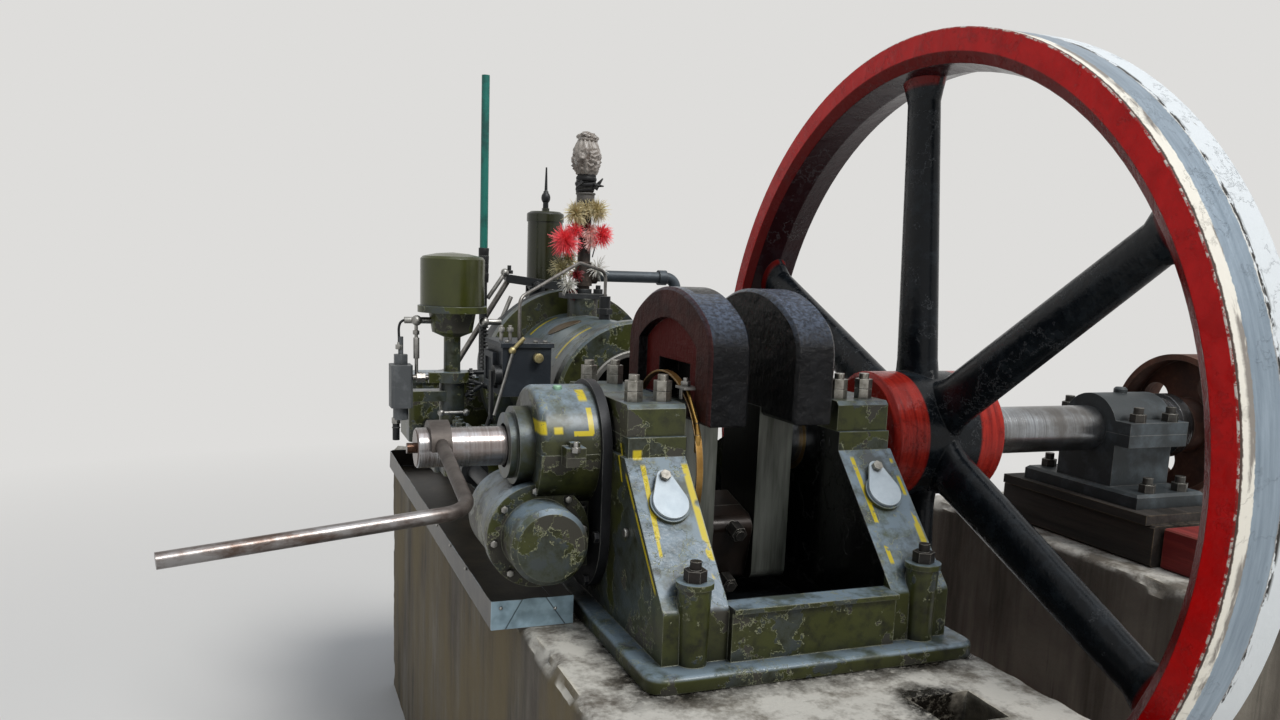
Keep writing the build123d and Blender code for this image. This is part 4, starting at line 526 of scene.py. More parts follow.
# Crankshaft. Turned steel journals with rings of tool marks, and flat webs planed along their length,
# all under a thin film of oil. The counterweights bolted over them are cast iron, brown-red and black.
shaft = Finish("crankshaft steel")
shaft_x = shaft.part(shaft.place, 0)
web_reach, stub_face = 0.1125, -0.5640
in_pit = shaft.near(shaft_x, 0.0, web_reach)
planed = shaft.patches(160.0, 4.0, 0.7, (0.2, 1.0, 0.02))
rings = shaft.patches(240.0, 4.0, 0.7, (1.0, 0.02, 0.02))
soil = shaft.patches(9.0, 6.0, 0.65)
shaft_colour = shaft.over("aeb2b6", "83868a", shaft.between(rings, 0.35, 0.7))
rust = shaft.all_of(shaft.between(shaft_x, -0.38, -0.40), shaft.between(soil, 0.42, 0.62))
shaft_colour = shaft.over(shaft_colour, "7c5a43", shaft.times(rust, 0.45))
shaft_colour = shaft.over(shaft_colour, "4b382e", shaft.between(shaft_x, stub_face, stub_face - 0.0015))
outboard_soil = shaft.all_of(shaft.between(shaft_x, 0.5, 0.6), shaft.between(soil, 0.38, 0.6))
shaft_colour = shaft.over(shaft_colour, "5d564e", shaft.times(outboard_soil, 0.7))
web_colour = shaft.over("7d8079", "4a4d45", shaft.between(planed, 0.35, 0.65))
# Painted shade: the webs' side faces, turned into the dark pit beside the weights, are made near black.
sideways_web = shaft.between(shaft.size_of(shaft.part(shaft.facing, 0)), 0.6, 0.8)
web_colour = shaft.over(web_colour, "12120e", shaft.times(sideways_web, 0.95))
# Hollows round the webs darkened: oily dirt, and painted shade.
web_colour = shaft.over(web_colour, "1b1a14", shaft.times(shaft.dirt_and_shade_in_hollows(0.05), 0.6))
shaft_colour = shaft.over(shaft_colour, web_colour, in_pit)
tool_marks = shaft.level(rings, planed, in_pit)
shaft_steel = shaft.close(shaft_colour, shaft.level(0.24, 0.40, in_pit), tool_marks, 0.0003,
                          shaft.level(0.95, 0.55, in_pit), shaft.rounded(0.001))
dress(shaft_steel, "crankshaft", "shaft_collars")


def weight_iron(name, red, shine):
    """Rough cast counterweight: oily black with a dull red face where red is 1."""
    iron = Finish(name)
    cast = iron.patches(48.0, 6.0, 0.72)
    lumps = iron.patches(16.0, 6.0, 0.65, shift=2.0)
    colour = iron.over("08080a", "121316", iron.between(lumps, 0.4, 0.65))
    # Painted sky reflection: blue-grey glints on the upward curves, broken by fine patches.
    top = iron.between(iron.part(iron.facing, 2), 0.25, 0.95)
    fine = iron.patches(130.0, 4.0, 0.7, shift=6.0)
    painted_glint = iron.all_of(top, iron.level(0.25, 1.0, iron.between(fine, 0.42, 0.62)))
    colour = iron.over(colour, "66748a", iron.times(painted_glint, 0.7))
    outward = iron.between(iron.part(iron.facing, 0), -0.6, -0.8)
    x = iron.part(iron.place, 0)
    recess = iron.all_of(iron.between(x, -0.117, -0.110), iron.between(x, -0.05, -0.06))
    window = iron.all_of(iron.between(x, -0.099, -0.097), iron.near(iron.part(iron.place, 1), 0.0, 0.0735))
    face = iron.over("43201b", "27110f", iron.between(lumps, 0.38, 0.62))
    face = iron.over(face, "56110c", recess)
    colour = iron.over(colour, face, iron.times(outward, red))
    colour = iron.over(colour, "050505", iron.times(window, red))
    corner = iron.edges(0.003, 0.25)
    worn = iron.between(iron.patches(50.0, 5.0, 0.7, shift=3.0), 0.50, 0.60)
    colour = iron.over(colour, "6e625c", iron.all_of(corner, worn))
    mask = iron.times(outward, red)
    rough = iron.level(iron.level(0.14, 0.26, lumps), 0.55, mask)
    relief = iron.plus(cast, iron.times(lumps, 2.0))
    return iron.close(colour, rough, relief, 0.0045, normal=iron.rounded(0.005), shine=shine)


dress(weight_iron("red counterweight", 1.0, 0.15), "counterweight_left")
dress(weight_iron("black counterweight", 0.0, 0.2), "counterweight_right")

# Connecting rod's big end, its cap and bolts, and the oil ring. Forged steel gone brown under hot oil,
# clamped round the pin by two bolts; the ring is brass strip fixed to the left weight.
forging = steel("oily forging", "241a15", "110d0a", 0.28, scale=18.0, stain=0.6, metal=0.3)
dress(forging, "rod_big_end", "rod_cap")
dress(steel("rod bolt steel", "4a4845", "262422", 0.3, metal=0.7), "rod_bolts")
dress(steel("oil ring brass", "b08a4c", "7a5a2a", 0.3, scale=30.0, stain=0.35, metal=0.85), "oil_ring")

# Flywheel. One iron casting keyed on the shaft: gloss red side face and hub, black spokes, and a rim whose
# tread is bare steel where the belt ran, between worn bands of white paint.
rim_left, rim_right, rim_radius = 0.368, 0.502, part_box("flywheel")[1][1]
bevel_radius, face_radius, hub_radius, spoke_plane = 0.684, 0.7215, 0.1275, 0.437
wheel = Finish("flywheel paint")
axis_point = Vector((0.0, 0.0, crank_z))
reach = wheel.radius(axis_point, 1, 2)
wheel_x = wheel.part(wheel.place, 0)
sideways = wheel.size_of(wheel.part(wheel.facing, 0))
flecks = wheel.patches(70.0, 6.0, 0.75)
spots = wheel.patches(24.0, 6.0, 0.65, shift=3.0)
streaks = wheel.patches(110.0, 3.0, 0.6, (1.0, 0.08, 0.08), 2.0)
black = wheel.over("101418", "20262b", wheel.between(spots, 0.50, 0.70))
chips = wheel.near(wheel.patches(7.0, 7.0, 0.7, shift=5.0), 0.56, 0.0035, 0.003)
black = wheel.over(black, "4c4f52", wheel.times(chips, 0.8))
red = wheel.over("d20a0c", "b80709", wheel.between(spots, 0.4, 0.65))
# Painted shade: the rim's inner bevel gets a dark red, a shaded copy of the side face's red paint.
bevel = wheel.all_of(wheel.between(reach, bevel_radius - 0.008, bevel_radius),
                     wheel.between(sideways, 0.15, 0.35))
colour = wheel.over(black, "6d100d", bevel)
side_face = wheel.all_of(wheel.between(reach, face_radius - 0.001, face_radius + 0.001),
                         wheel.between(sideways, 0.6, 0.8))
colour = wheel.over(colour, red, side_face)
between_spokes = wheel.near(wheel_x, spoke_plane, 0.058, 0.004)
hub = wheel.all_of(wheel.between(reach, hub_radius, hub_radius - 0.0013), wheel.minus(1.0, between_spokes))
brushed = wheel.over("a92b20", "7d1712", wheel.between(streaks, 0.4, 0.65))
colour = wheel.over(colour, brushed, hub)
share = wheel.between(wheel_x, rim_left, rim_right)
wobble = wheel.times(wheel.minus(flecks, 0.5), 0.07)
ragged = wheel.plus(share, wobble)
long_wear = wheel.patches(16.0, 5.0, 0.65, (1.0, 0.25, 0.25), 8.0)
tread_colour = wheel.over("4a3a33", "efe9db", wheel.between(ragged, 0.045, 0.060))
scuffed = wheel.all_of(wheel.between(ragged, 0.12, 0.16), wheel.between(long_wear, 0.47, 0.52))
tread_colour = wheel.over(tread_colour, "8f8880", scuffed)
polished = wheel.all_of(wheel.between(ragged, 0.215, 0.225), wheel.between(ragged, 0.60, 0.59))
belt_steel = wheel.over("9dabb7", "7f8d99", wheel.between(streaks, 0.3, 0.75))
tread_colour = wheel.over(tread_colour, belt_steel, polished)
far_band = wheel.between(ragged, 0.60, 0.61)
tread_colour = wheel.over(tread_colour, "dfe3e4", far_band)
flake = wheel.patches(60.0, 5.0, 0.7, (1.0, 0.3, 0.3), 6.0)
edge_flecks = wheel.all_of(far_band, wheel.between(flake, 0.49, 0.53), wheel.between(share, 0.68, 0.64))
tread_colour = wheel.over(tread_colour, "34322f", edge_flecks)
far_flecks = wheel.all_of(far_band, wheel.between(flake, 0.66, 0.69))
tread_colour = wheel.over(tread_colour, "b3b2af", far_flecks)
outermost = wheel.between(reach, rim_radius - 0.0025, rim_radius - 0.0015)
tread = wheel.all_of(outermost, wheel.between(sideways, 0.75, 0.6))
colour = wheel.over(colour, tread_colour, tread)
rim_edge = wheel.all_of(wheel.near(reach, rim_radius, 0.0022, 0.001), wheel.between(flecks, 0.5, 0.56),
                        wheel.between(sideways, 0.25, 0.35))
colour = wheel.over(colour, "cfc6bb", rim_edge)
bright = wheel.all_of(tread, polished)
wheel_rough = wheel.level(wheel.level(0.20, 0.34, wheel.between(spots, 0.4, 0.7)), 0.36, bright)
wheel_rough = wheel.level(wheel_rough, 0.55, wheel.all_of(tread, wheel.minus(1.0, polished)))
wheel_relief = wheel.plus(wheel.times(spots, 1.2), wheel.times(chips, 0.5))
wheel_paint = wheel.close(colour, wheel_rough, wheel_relief, 0.0016, wheel.times(bright, 0.45),
                          wheel.rounded(0.004), shine=0.2)
dress(wheel_paint, "flywheel")


# Belt pulley. Rusty cast iron that was never painted, with four round holes in its web. It is keyed on
# the shaft's outboard end.
def rusty(name, base, dark, light, rough=0.75):
    """Old rust in three shades."""
    iron = Finish(name)
    cloud = iron.patches(8.0, 7.0, 0.65)
    grit = iron.patches(90.0, 5.0, 0.7, shift=2.0)
    colour = iron.over(base, dark, iron.between(cloud, 0.42, 0.62))
    bloom = iron.all_of(iron.between(grit, 0.52, 0.7), iron.between(cloud, 0.6, 0.4))
    colour = iron.over(colour, light, bloom)
    # Hollows darkened: dirt, and painted shade.
    colour = iron.over(colour, "100c0a", iron.times(iron.dirt_and_shade_in_hollows(0.03), 0.7))
    colour = iron.over(colour, "9c8878", iron.times(iron.edges(0.002), 0.5))
    relief = iron.plus(grit, cloud)
    return iron.close(colour, rough, relief, 0.0008, 0.25, iron.rounded(0.002))


dress(rusty("pulley rust", "5f3d2f", "3b261e", "7b5542"), "pulley")

# Starting handle. Round steel bar bent by hand, with a flat end hooked over the shaft's stub. The leg is
# brown and dull, and the grip is worn bright.
handle = Finish("handle steel")
grip_start, grip_end = -0.545, -0.60
grip = handle.between(handle.part(handle.place, 0), grip_start, grip_end)
worn = handle.patches(28.0, 5.0, 0.7, (0.5, 1.0, 1.0))
tone = handle.over("57504b", "37302c", handle.between(worn, 0.4, 0.65))
tone = handle.over(tone, handle.over("8f8c8b", "5c4e47", handle.between(worn, 0.42, 0.62)), grip)
handle_steel = handle.close(tone, handle.level(0.5, 0.3, grip), worn, 0.0004, handle.level(0.5, 0.85, grip))
dress(handle_steel, "starting_handle")


# Gear case plate, shaft seal, cylinder head, fuel pump, outboard bearing and the small rods. The castings
# are dark oily iron with worn corners, bolted up; the rods are plain steel on pins.
def dark_iron(name, base, light, rough):
    """Dark oily iron with worn corners."""
    iron = Finish(name)
    cloud = iron.patches(14.0, 6.0, 0.65)
    grit = iron.patches(110.0, 4.0, 0.7, shift=2.0)
    colour = iron.over(base, light, iron.between(cloud, 0.48, 0.70))
    colour = iron.over(colour, "7c7c78", iron.all_of(iron.edges(0.0018), iron.between(cloud, 0.35, 0.55)))
    # Hollows darkened nearly black: oily dirt, and painted shade.
    colour = iron.over(colour, "060606", iron.times(iron.dirt_and_shade_in_hollows(0.025), 0.8))
    relief = iron.plus(grit, cloud)
    dulled = iron.level(rough, rough + 0.18, cloud)
    return iron.close(colour, dulled, relief, 0.0006, 0.3, iron.rounded(0.0015))


dress(dark_iron("plate iron", "15161a", "26272b", 0.4), "gear_case_plate")
dress(dark_iron("seal iron", "343823", "4c5660", 0.28), "shaft_seal")
dress(dark_iron("head iron", "26292b", "3b4143", 0.42), "cylinder_head", "rocker_bracket", "rocker_arm")
dress(dark_iron("pump iron", "55585a", "7b7e80", 0.45), "fuel_pump")
dress(dark_iron("bearing slate", "33383a", "535c61", 0.42), "outboard_bearing", "outboard_cap")
dress(steel("rod steel", "8d8a86", "57534e", 0.3), "push_rod", "valve_stem", "pump_link", "oil_pipe")
black_iron = dark_iron("small black iron", "17191b", "2a2c2e", 0.35)
dress(black_iron, "side_shaft", "lubricator_drive", "check_valve")

# Governor drum and air filter. Spun sheet drums, screwed on their necks, under a gloss olive coat on
# which upright bands of reflected light are painted as pale streaks. The filter behind is nearly black.
gloss = Finish("gloss olive")
gloss_cloud = gloss.patches(9.0, 5.0, 0.6)
painted_light_bands = gloss.patches(60.0, 4.0, 0.7, (1.0, 1.0, 0.25), 2.0)
gloss_tone = gloss.over("3c4013", "2c2f10", gloss.between(gloss_cloud, 0.4, 0.65))
filter_front = 1.15
filter_darker = gloss.between(gloss.part(gloss.place, 1), filter_front - 0.05, filter_front)
gloss_tone = gloss.over(gloss_tone, "1b1d10", gloss.times(filter_darker, 0.75))
# Painted reflection: pale upright streaks stand for bands of light mirrored in the gloss coat.
gloss_tone = gloss.over(gloss_tone, "7d8049", gloss.between(painted_light_bands, 0.70, 0.76))
# Hollows darkened: dirt, and painted shade.
gloss_tone = gloss.over(gloss_tone, "15160b", gloss.times(gloss.dirt_and_shade_in_hollows(0.02), 0.7))
gloss_rough = gloss.level(0.17, 0.3, gloss_cloud)
gloss_coat = gloss.close(gloss_tone, gloss_rough, gloss_cloud, 0.0008, 0.0, gloss.rounded(0.002))
dress(gloss_coat, "governor_drum", "air_filter")

# Lubricator. A box of iron in blue-grey enamel, dark with oil, under a screwed lid. It stands on the bed
# beside the cylinder.
dress(dark_iron("lubricator enamel", "2c3137", "3c434a", 0.35), "lubricator")

# Cooling water outlet, stack and branch. The outlet is a cast flange bolted to the jacket, the stack is
# rusty iron pipe screwed into it, and the level branch with its elbow is grey plastic.
dress(dark_iron("outlet iron", "2d2f30", "474b4c", 0.45), "water_outlet")
dress(rusty("stack rust", "3d332c", "241f1c", "66564a", 0.6), "water_stack")
dress(dark_iron("branch pipe", "3f464b", "59626a", 0.4), "water_branch")

# Breather. Teal plastic pipe pushed on a black lower length that stands behind the governor, and bound
# to it with tape.
pipe = Finish("breather plastic")
pipe_z = pipe.part(pipe.place, 2)
teal_start = crank_z + 0.335
teal = pipe.between(pipe_z, teal_start, teal_start + 0.002)
pipe_tone = pipe.over("141617", "0f6f63", teal)
stained = pipe.between(pipe.patches(20.0, 5.0), 0.45, 0.6)
pipe_tone = pipe.over(pipe_tone, "0a4f48", pipe.all_of(teal, stained))
dress(pipe.close(pipe_tone, 0.42, pipe.patches(80.0), 0.0005), "breather_pipe")

# Drip tray. A box folded by hand from galvanised sheet and riveted at the front corners: its front is
# bright and creased, its long left wall has sagged, and its inside is black with old oil.
def spot(x, y, z):
    """Point given in millimetres from the crank axis."""
    return Vector((x, y, z)) / 1000 + Vector((0.0, 0.0, crank_z))


def bar(mesh, start, end, radius, far=None, sides=20):
    """Round bar between two points. Far is its radius at the second one."""
    run = end - start
    turn = run.to_track_quat("Z", "Y").to_matrix().to_4x4()
    made = bmesh.ops.create_cone(mesh, cap_ends=True, segments=sides, radius1=radius,
                                 radius2=radius if far is None else far, depth=run.length,
                                 matrix=Matrix.Translation((start + end) / 2) @ turn)
    return made["verts"]


def soften(mesh, verts, width, segments=2):
    """Rounded edges on one shell of a mesh."""
    sharp = {edge for vert in verts for edge in vert.link_edges if edge.calc_face_angle(0) > 0.6}
    bmesh.ops.bevel(mesh, geom=list(sharp), offset=width, offset_type="OFFSET", segments=segments,
                    profile=0.5, affect="EDGES", material=-1)


def rod(mesh, start, end, radius, far=None, sides=20, edge=0.001, steps=2):
    """Round bar with softened ends between two points in millimetres."""
    soften(mesh, bar(mesh, spot(*start), spot(*end), radius, far, sides), edge, steps)


def ball(mesh, centre, radius, flat=1.0):
    """Ball, or a lens where flat is under 1."""
    place = Matrix.Translation(centre) @ Matrix.Diagonal((1.0, 1.0, flat, 1.0))
    bmesh.ops.create_uvsphere(mesh, u_segments=20, v_segments=12, radius=radius, matrix=place)


def nut(mesh, centre, direction, across, height, stud=0.0):
    """Hexagon standing on a face, with the end of its stud."""
    direction = Vector(direction).normalized()
    corner_radius, edge = across / 2 / cos(pi / 6), across * 0.05
    soften(mesh, bar(mesh, centre, centre + direction * height, corner_radius, sides=6), edge)
    if stud:
        end = centre + direction * (height + stud)
        soften(mesh, bar(mesh, centre, end, across * 0.28), edge)


def hoop(mesh, centre, direction, radius, thickness, tall=1.0):
    """Ring round an axis, with a round or upright oval section."""
    direction = Vector(direction).normalized()
    side = direction.orthogonal().normalized()
    across = Matrix((side, direction, side.cross(direction))).transposed().to_4x4()
    place = Matrix.Translation(centre + side * radius) @ across @ Matrix.Diagonal((1.0, tall, 1.0, 1.0))
    ring = bmesh.ops.create_circle(mesh, segments=10, radius=thickness, matrix=place)
    edges = list({edge for vert in ring["verts"] for edge in vert.link_edges})
    bmesh.ops.spin(mesh, geom=ring["verts"] + edges, cent=centre, axis=direction, angle=tau, steps=36,
                   use_merge=True)


tray_low, tray_high = (Vector(corner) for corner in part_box("drip_tray"))
tray = bmesh.new()
slab(tray, tray_low, tray_high)
for axis, cuts in ((0, 15), (1, 80), (2, 7)):
    bmesh.ops.subdivide_edges(tray, edges=running(tray, axis), cuts=cuts, use_grid_fill=True)
opening = [face for face in tray.faces if face.calc_center_median().z > tray_high.z - 1e-4]
bmesh.ops.delete(tray, geom=opening, context="FACES")
crease, sheet_thickness, sagging = 0.0032, 0.0012, 0.010
left_foot, left_lean, right_foot, right_lean = 0.17, 0.20, 0.90, 0.24
tray_size = tray_high - tray_low
for vertex in tray.verts:
    place = vertex.co
    rise = (place.z - tray_low.z) / tray_size.z
    if place.y < tray_low.y + 1e-4:
        share = (place.x - tray_low.x) / tray_size.x
        fold = min(abs(share - left_foot - left_lean * rise), abs(share - right_foot + right_lean * rise))
        middle = left_foot + left_lean * rise < share < right_foot - right_lean * rise
        place.y += crease * (1.0 if middle else 0.25) * min(1.0, fold * 9) * min(1.0, rise * 3)
    elif place.x < tray_low.x + 1e-4:
        sag = 0.5 + 0.5 * noise.noise(Vector((0.0, place.y * 2.6, 3.0)))
        place.z -= rise * sagging * sag
        place.x += rise * 0.004 * (0.5 + 0.5 * noise.noise(Vector((5.0, place.y * 4.0, 0.0))))
    elif place.x > tray_high.x - 1e-4:
        place.x -= rise * 0.003 * (0.5 + 0.5 * noise.noise(Vector((9.0, place.y * 3.0, 0.0))))
bmesh.ops.recalc_face_normals(tray, faces=tray.faces)
bmesh.ops.solidify(tray, geom=tray.faces[:], thickness=sheet_thickness)
sheet = Finish("tray zinc")
spangle = sheet.patches(35.0, 3.0, 0.5)
grime = sheet.patches(9.0, 6.0, 0.7, (1.0, 0.6, 1.0), 4.0)
front_face = sheet.between(sheet.part(sheet.place, 1), tray_low.y + 0.0055, tray_low.y + 0.004)
zinc = sheet.over("a8c3d2", "8ba3b0", sheet.between(spangle, 0.4, 0.6))
zinc = sheet.over(zinc, "5c5d55", sheet.between(grime, 0.60, 0.78))
old = sheet.over("2e2922", "40392e", sheet.between(spangle, 0.40, 0.65))
old = sheet.over(old, "17130f", sheet.between(grime, 0.40, 0.62))
tray_share = sheet.times(sheet.minus(sheet.part(sheet.place, 0), tray_low.x), 1 / tray_size.x)
tray_rise = sheet.times(sheet.minus(sheet.part(sheet.place, 2), tray_low.z), 1 / tray_size.z)
left_line = sheet.minus(tray_share, sheet.times(tray_rise, left_lean))
right_line = sheet.plus(tray_share, sheet.times(tray_rise, right_lean))
# Painted shade: dark lines along the front's folds, where the creases turn from the light.
crease_shade = sheet.any_of(sheet.near(left_line, left_foot, 0.006, 0.006),
                       sheet.near(right_line, right_foot, 0.006, 0.006))
zinc = sheet.over(zinc, "39424a", sheet.times(crease_shade, 0.8))
zinc = sheet.over(old, zinc, front_face)
zinc = sheet.over(zinc, "a9b4b8", sheet.all_of(sheet.edges(0.002), sheet.between(grime, 0.45, 0.55)))
tray_zinc = sheet.close(zinc, sheet.level(0.36, 0.42, front_face), grime, 0.0010,
                        sheet.level(0.3, 0.75, front_face))
fit("tray_sheet", tray, tray_zinc, "engine", "galvanised", "drip_tray", smooth=50)

# Rivets of the tray. Soft round heads, two through the folded front and three along the left wall, which
# hold its corners and its stiffening strip.
rivets = bmesh.new()
rivet_radius = 0.0034
for x, z in ((-436, -262), (-341, -270)):
    ball(rivets, spot(x, -88.6, z), rivet_radius, 0.9)
for y in (140, 300, 460):
    ball(rivets, spot(-451, y, -262), rivet_radius, 0.9)
bright = steel("bright steel", "a9a8a4", "807d78", 0.28, stain=0.15, metal=0.85)
fit("tray_rivets", rivets, bright, "engine", "bolt_steel")

# Loose fastenings round the gear case and bed: a bolt through the left wall, a bolt in the case's ear, the
# drum cover's ring of screws, two plate screws. Plain steel, oily.
bolts = bmesh.new()
nut(bolts, spot(-255, -200, -112), (-1, 0, 0), 0.014, 0.007)
nut(bolts, spot(-325, -131, 9), (0, 0, 1), 0.015, 0.009, 0.009)
drum_x, drum_z, screw_circle, screws = -368, -145, 79, 8
for turn in range(screws):
    angle = radians(6 + 360 / screws * turn)
    head = spot(drum_x + screw_circle * cos(angle), -72, drum_z + screw_circle * sin(angle))
    nut(bolts, head, (0, -1, 0), 0.011, 0.006)
for x, y, z in ((-279, -45, -106), (-272, -16, -108)):
    nut(bolts, spot(x, y, z), (-1, 0, 0), 0.010, 0.006)
fit("case_bolts", bolts, bright, "engine", "bolt_steel")

# Oil hole cap on the gear case. A pale green enamelled knob with softened edges, pushed into the crown of
# the upper half.
knob = bmesh.new()
rod(knob, (-328, -25, 98), (-328, -25, 107), 0.0085, 0.0075, edge=0.002, steps=3)
green_enamel = dark_iron("pale green enamel", "8fb79a", "a9c9ae", 0.4)
fit("case_oil_cap", knob, green_enamel, "engine", "engine_paint")

# Oil ring's spout. A brass nozzle and tube clamped to the ring by a small bolted plate. They turn with the
# crank, clear of the left cap.
feed = bmesh.new()
spout_x = -126
nozzle_foot, nozzle_top = (spout_x, -171, 10), (spout_x, -171, 40)
tube_bend, tube_top = (spout_x, -166, 58), (spout_x, -120, 112)
rod(feed, nozzle_foot, nozzle_top, 0.0052)
bar(feed, spot(*nozzle_top), spot(*tube_bend), 0.0036, 0.0030)
bar(feed, spot(*tube_bend), spot(*tube_top), 0.0030)
brass = steel("feed brass", "b99552", "7d5d2c", 0.28, scale=30.0, stain=0.3, metal=0.85)
fit("ring_feed", feed, brass, "crank", "brass")
clip = bmesh.new()
slab(clip, spot(spout_x - 14, -139, 111), spot(spout_x + 14, -101, 115))
nut(clip, spot(spout_x, -112, 115), (0, 0, 1), 0.015, 0.008, 0.006)
bar(clip, spot(-131, -108, 92), spot(-131, -108, 112), 0.004)
fit("ring_bracket", clip, bright, "crank", "bolt_steel")

# Plate on the jacket. A blank bronze oval bent round the cylinder's upper left side, dark with oil and
# turned a little off level.
plate = bmesh.new()
bmesh.ops.create_grid(plate, x_segments=20, y_segments=20, size=1.0)
jacket_radius, plate_angle, plate_y, plate_thickness = 0.1782, radians(119), 0.748, 0.002
tilt, half_long, half_short = radians(-50), 0.052, 0.027
for vertex in plate.verts:
    x, y = vertex.co.x, vertex.co.y
    u, v = x * (1 - y * y / 2) ** 0.5 * half_long, y * (1 - x * x / 2) ** 0.5 * half_short
    arc, run = u * cos(tilt) - v * sin(tilt), u * sin(tilt) + v * cos(tilt)
    angle = plate_angle - arc / jacket_radius
    vertex.co = Vector((jacket_radius * cos(angle), plate_y + run, crank_z + jacket_radius * sin(angle)))
bmesh.ops.recalc_face_normals(plate, faces=plate.faces)
if plate.faces[:][0].normal.z < 0:
    bmesh.ops.reverse_faces(plate, faces=plate.faces)
bmesh.ops.solidify(plate, geom=plate.faces[:], thickness=-plate_thickness)
plate_bronze = steel("plate bronze", "5c4a30", "3c3324", 0.4, scale=20.0, stain=0.5, metal=0.7)
fit("jacket_plate", plate, plate_bronze, "engine", "brass")

# Governor and fuel pump linkage. Bright levers and turnbuckles with ball joints, left and right of the
# governor's neck, and the pump's bent wire and hose stub.
links = bmesh.new()
link_y, rod_x, lever_z, pump_x = 735, -456, 167, -503
rod(links, (-416, link_y, lever_z), (-484, link_y, lever_z), 0.0078)
for x, z in ((rod_x, lever_z), (-448, 32), (-294, 165)):
    ball(links, spot(x, 727, z), 0.0125)
rod(links, (rod_x, 724, lever_z), (rod_x, 716, lever_z), 0.0058)
bar(links, spot(rod_x, link_y, 156), spot(-455, link_y, 34), 0.0042)
rod(links, (-455.6, link_y, 126), (-455.2, link_y, 76), 0.0075, sides=6)
rod(links, (rod_x, link_y, 143), (rod_x, link_y, 133), 0.0085, sides=6)
rod(links, (pump_x, 728, 32), (-440, 728, 32), 0.0065)
rod(links, (-251, link_y, 165), (-304, link_y, 165), 0.0075)
cross_left, cross_right = spot(-405, 680, -48), spot(-346, 680, -48)
bar(links, cross_left, cross_right, 0.0045)
for end in (cross_left, cross_right):
    ball(links, end, 0.0085)
nut(links, spot(-496, link_y, 98), (0, 0, 1), 0.016, 0.011, 0.006)
nut(links, spot(pump_x, link_y, -66), (0, 0, -1), 0.020, 0.014)
fit("governor_links", links, bright, "engine", "bolt_steel")


def wire(name, points, radius, material, body="engine"):
    """Bent rod or small pipe along a smooth line."""
    line = bpy.data.curves.new(name, "CURVE")
    line.dimensions = "3D"
    line.bevel_depth = radius
    line.bevel_resolution = 3
    line.resolution_u = 10
    line.use_fill_caps = True
    spline = line.splines.new("NURBS")
    spline.points.add(len(points) - 1)
    for point, place in zip(spline.points, points):
        point.co = (*place, 1.0)
    spline.order_u = 3
    spline.use_endpoint_u = True
    line.materials.append(material)
    thing = bpy.data.objects.new(name, line)
    bpy.context.scene.collection.objects.link(thing)
    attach(thing, body)
    return thing


bends = ((-484, 167), (-492, 164), (-497, 150), (-496, 128), (-496, 104))
wire("pump_wire", [spot(x, link_y, z) for x, z in bends], 0.0030, black_iron)
stub = bmesh.new()
rod(stub, (pump_x, link_y, -78), (pump_x, link_y, -120), 0.0085)
hoop(stub, spot(pump_x, link_y, -90), (0, 0, 1), 0.0085, 0.0016)
fit("pump_hose_stub", stub, black_iron, "engine", "bolt_steel")

# Springs and small arms behind the governor. Coiled black wire on studs, each held down by a nut, with
# three short black arms across them.
coils = bmesh.new()
for x, y, low, high in ((-292, 735, 48, 158), (-326, 725, -27, 45), (-276, 725, -27, 40)):
    bar(coils, spot(x, y, low), spot(x, y, high), 0.0040)
    for turn in range(int((high - low) / 9)):
        hoop(coils, spot(x, y, low + 6 + 9 * turn), (0.12, 0.1, 1), 0.0085, 0.0019)
    nut(coils, spot(x, y, high - 4), (0, 0, 1), 0.015, 0.008, 0.004)
for start, end in (((-345, 722, 30), (-282, 722, 6)), ((-340, 722, -14), (-286, 722, 22)),
                   ((-330, 722, 44), (-270, 722, 44))):
    rod(coils, start, end, 0.0060)
fit("governor_springs", coils, black_iron, "engine", "bolt_steel")

# Second bright rod beside the push rod, and the rocker's screws.
rods = bmesh.new()
rod(rods, (-131, 1128, 213), (-184, 1128, 83), 0.0062)
rod(rods, (-196, 1142, 205), (-148, 1142, 276), 0.0062)
ball(rods, spot(-147, 1142, 279), 0.012)
fit("valve_rods", rods, bright, "engine", "bolt_steel")
rocker = bmesh.new()
rocker_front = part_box("rocker_arm")[0][1]
nut(rocker, Vector((-0.050, rocker_front - 0.001, crank_z + 0.243)), (0, -1, 0), 0.026, 0.012, 0.008)
nut(rocker, spot(-128, 1168, 276), (0, 0, 1), 0.020, 0.010, 0.014)
nut(rocker, spot(24, 1168, 254), (0, 0, 1), 0.018, 0.009, 0.010)
fit("rocker_nuts", rocker, black_iron, "engine", "bolt_steel")

# Lubricator's hand pump, feed rod and lid screws. A pale brass lever, a round knob on a short steel
# spindle in its front, and a thin slanted rod down to the ratchet.
lubricator_low, lubricator_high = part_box("lubricator")
knobs = bmesh.new()
rod(knobs, (-234, 456, 106), (-234, 438, 106), 0.0105, edge=0.0015)
rod(knobs, (-291, 452, 122), (-266, 446, 150), 0.0052, 0.0042)
ball(knobs, spot(-291, 452, 122), 0.0085)
pale_brass = steel("pale brass", "cbbd8c", "8d7a4c", 0.3, stain=0.2, metal=0.75)
fit("lubricator_knobs", knobs, pale_brass, "engine", "brass")
feeds = bmesh.new()
bar(feeds, spot(-291, 450, 116), spot(-330, 448, -19), 0.0034)
for x in (-300, -268, -236, -214):
    seat = Vector((x / 1000, lubricator_low[1] + 0.014, lubricator_high[2] - 0.0005))
    nut(feeds, seat, (0, 0, 1), 0.009, 0.005)
for x in (-300, -280):
    bar(feeds, Vector((x / 1000, 0.520, lubricator_high[2] - 0.001)), spot(x, 520, 172), 0.0042)
    nut(feeds, spot(x, 520, 158), (0, 0, 1), 0.014, 0.009, 0.004)
fit("lubricator_screws", feeds, bright, "engine", "bolt_steel")

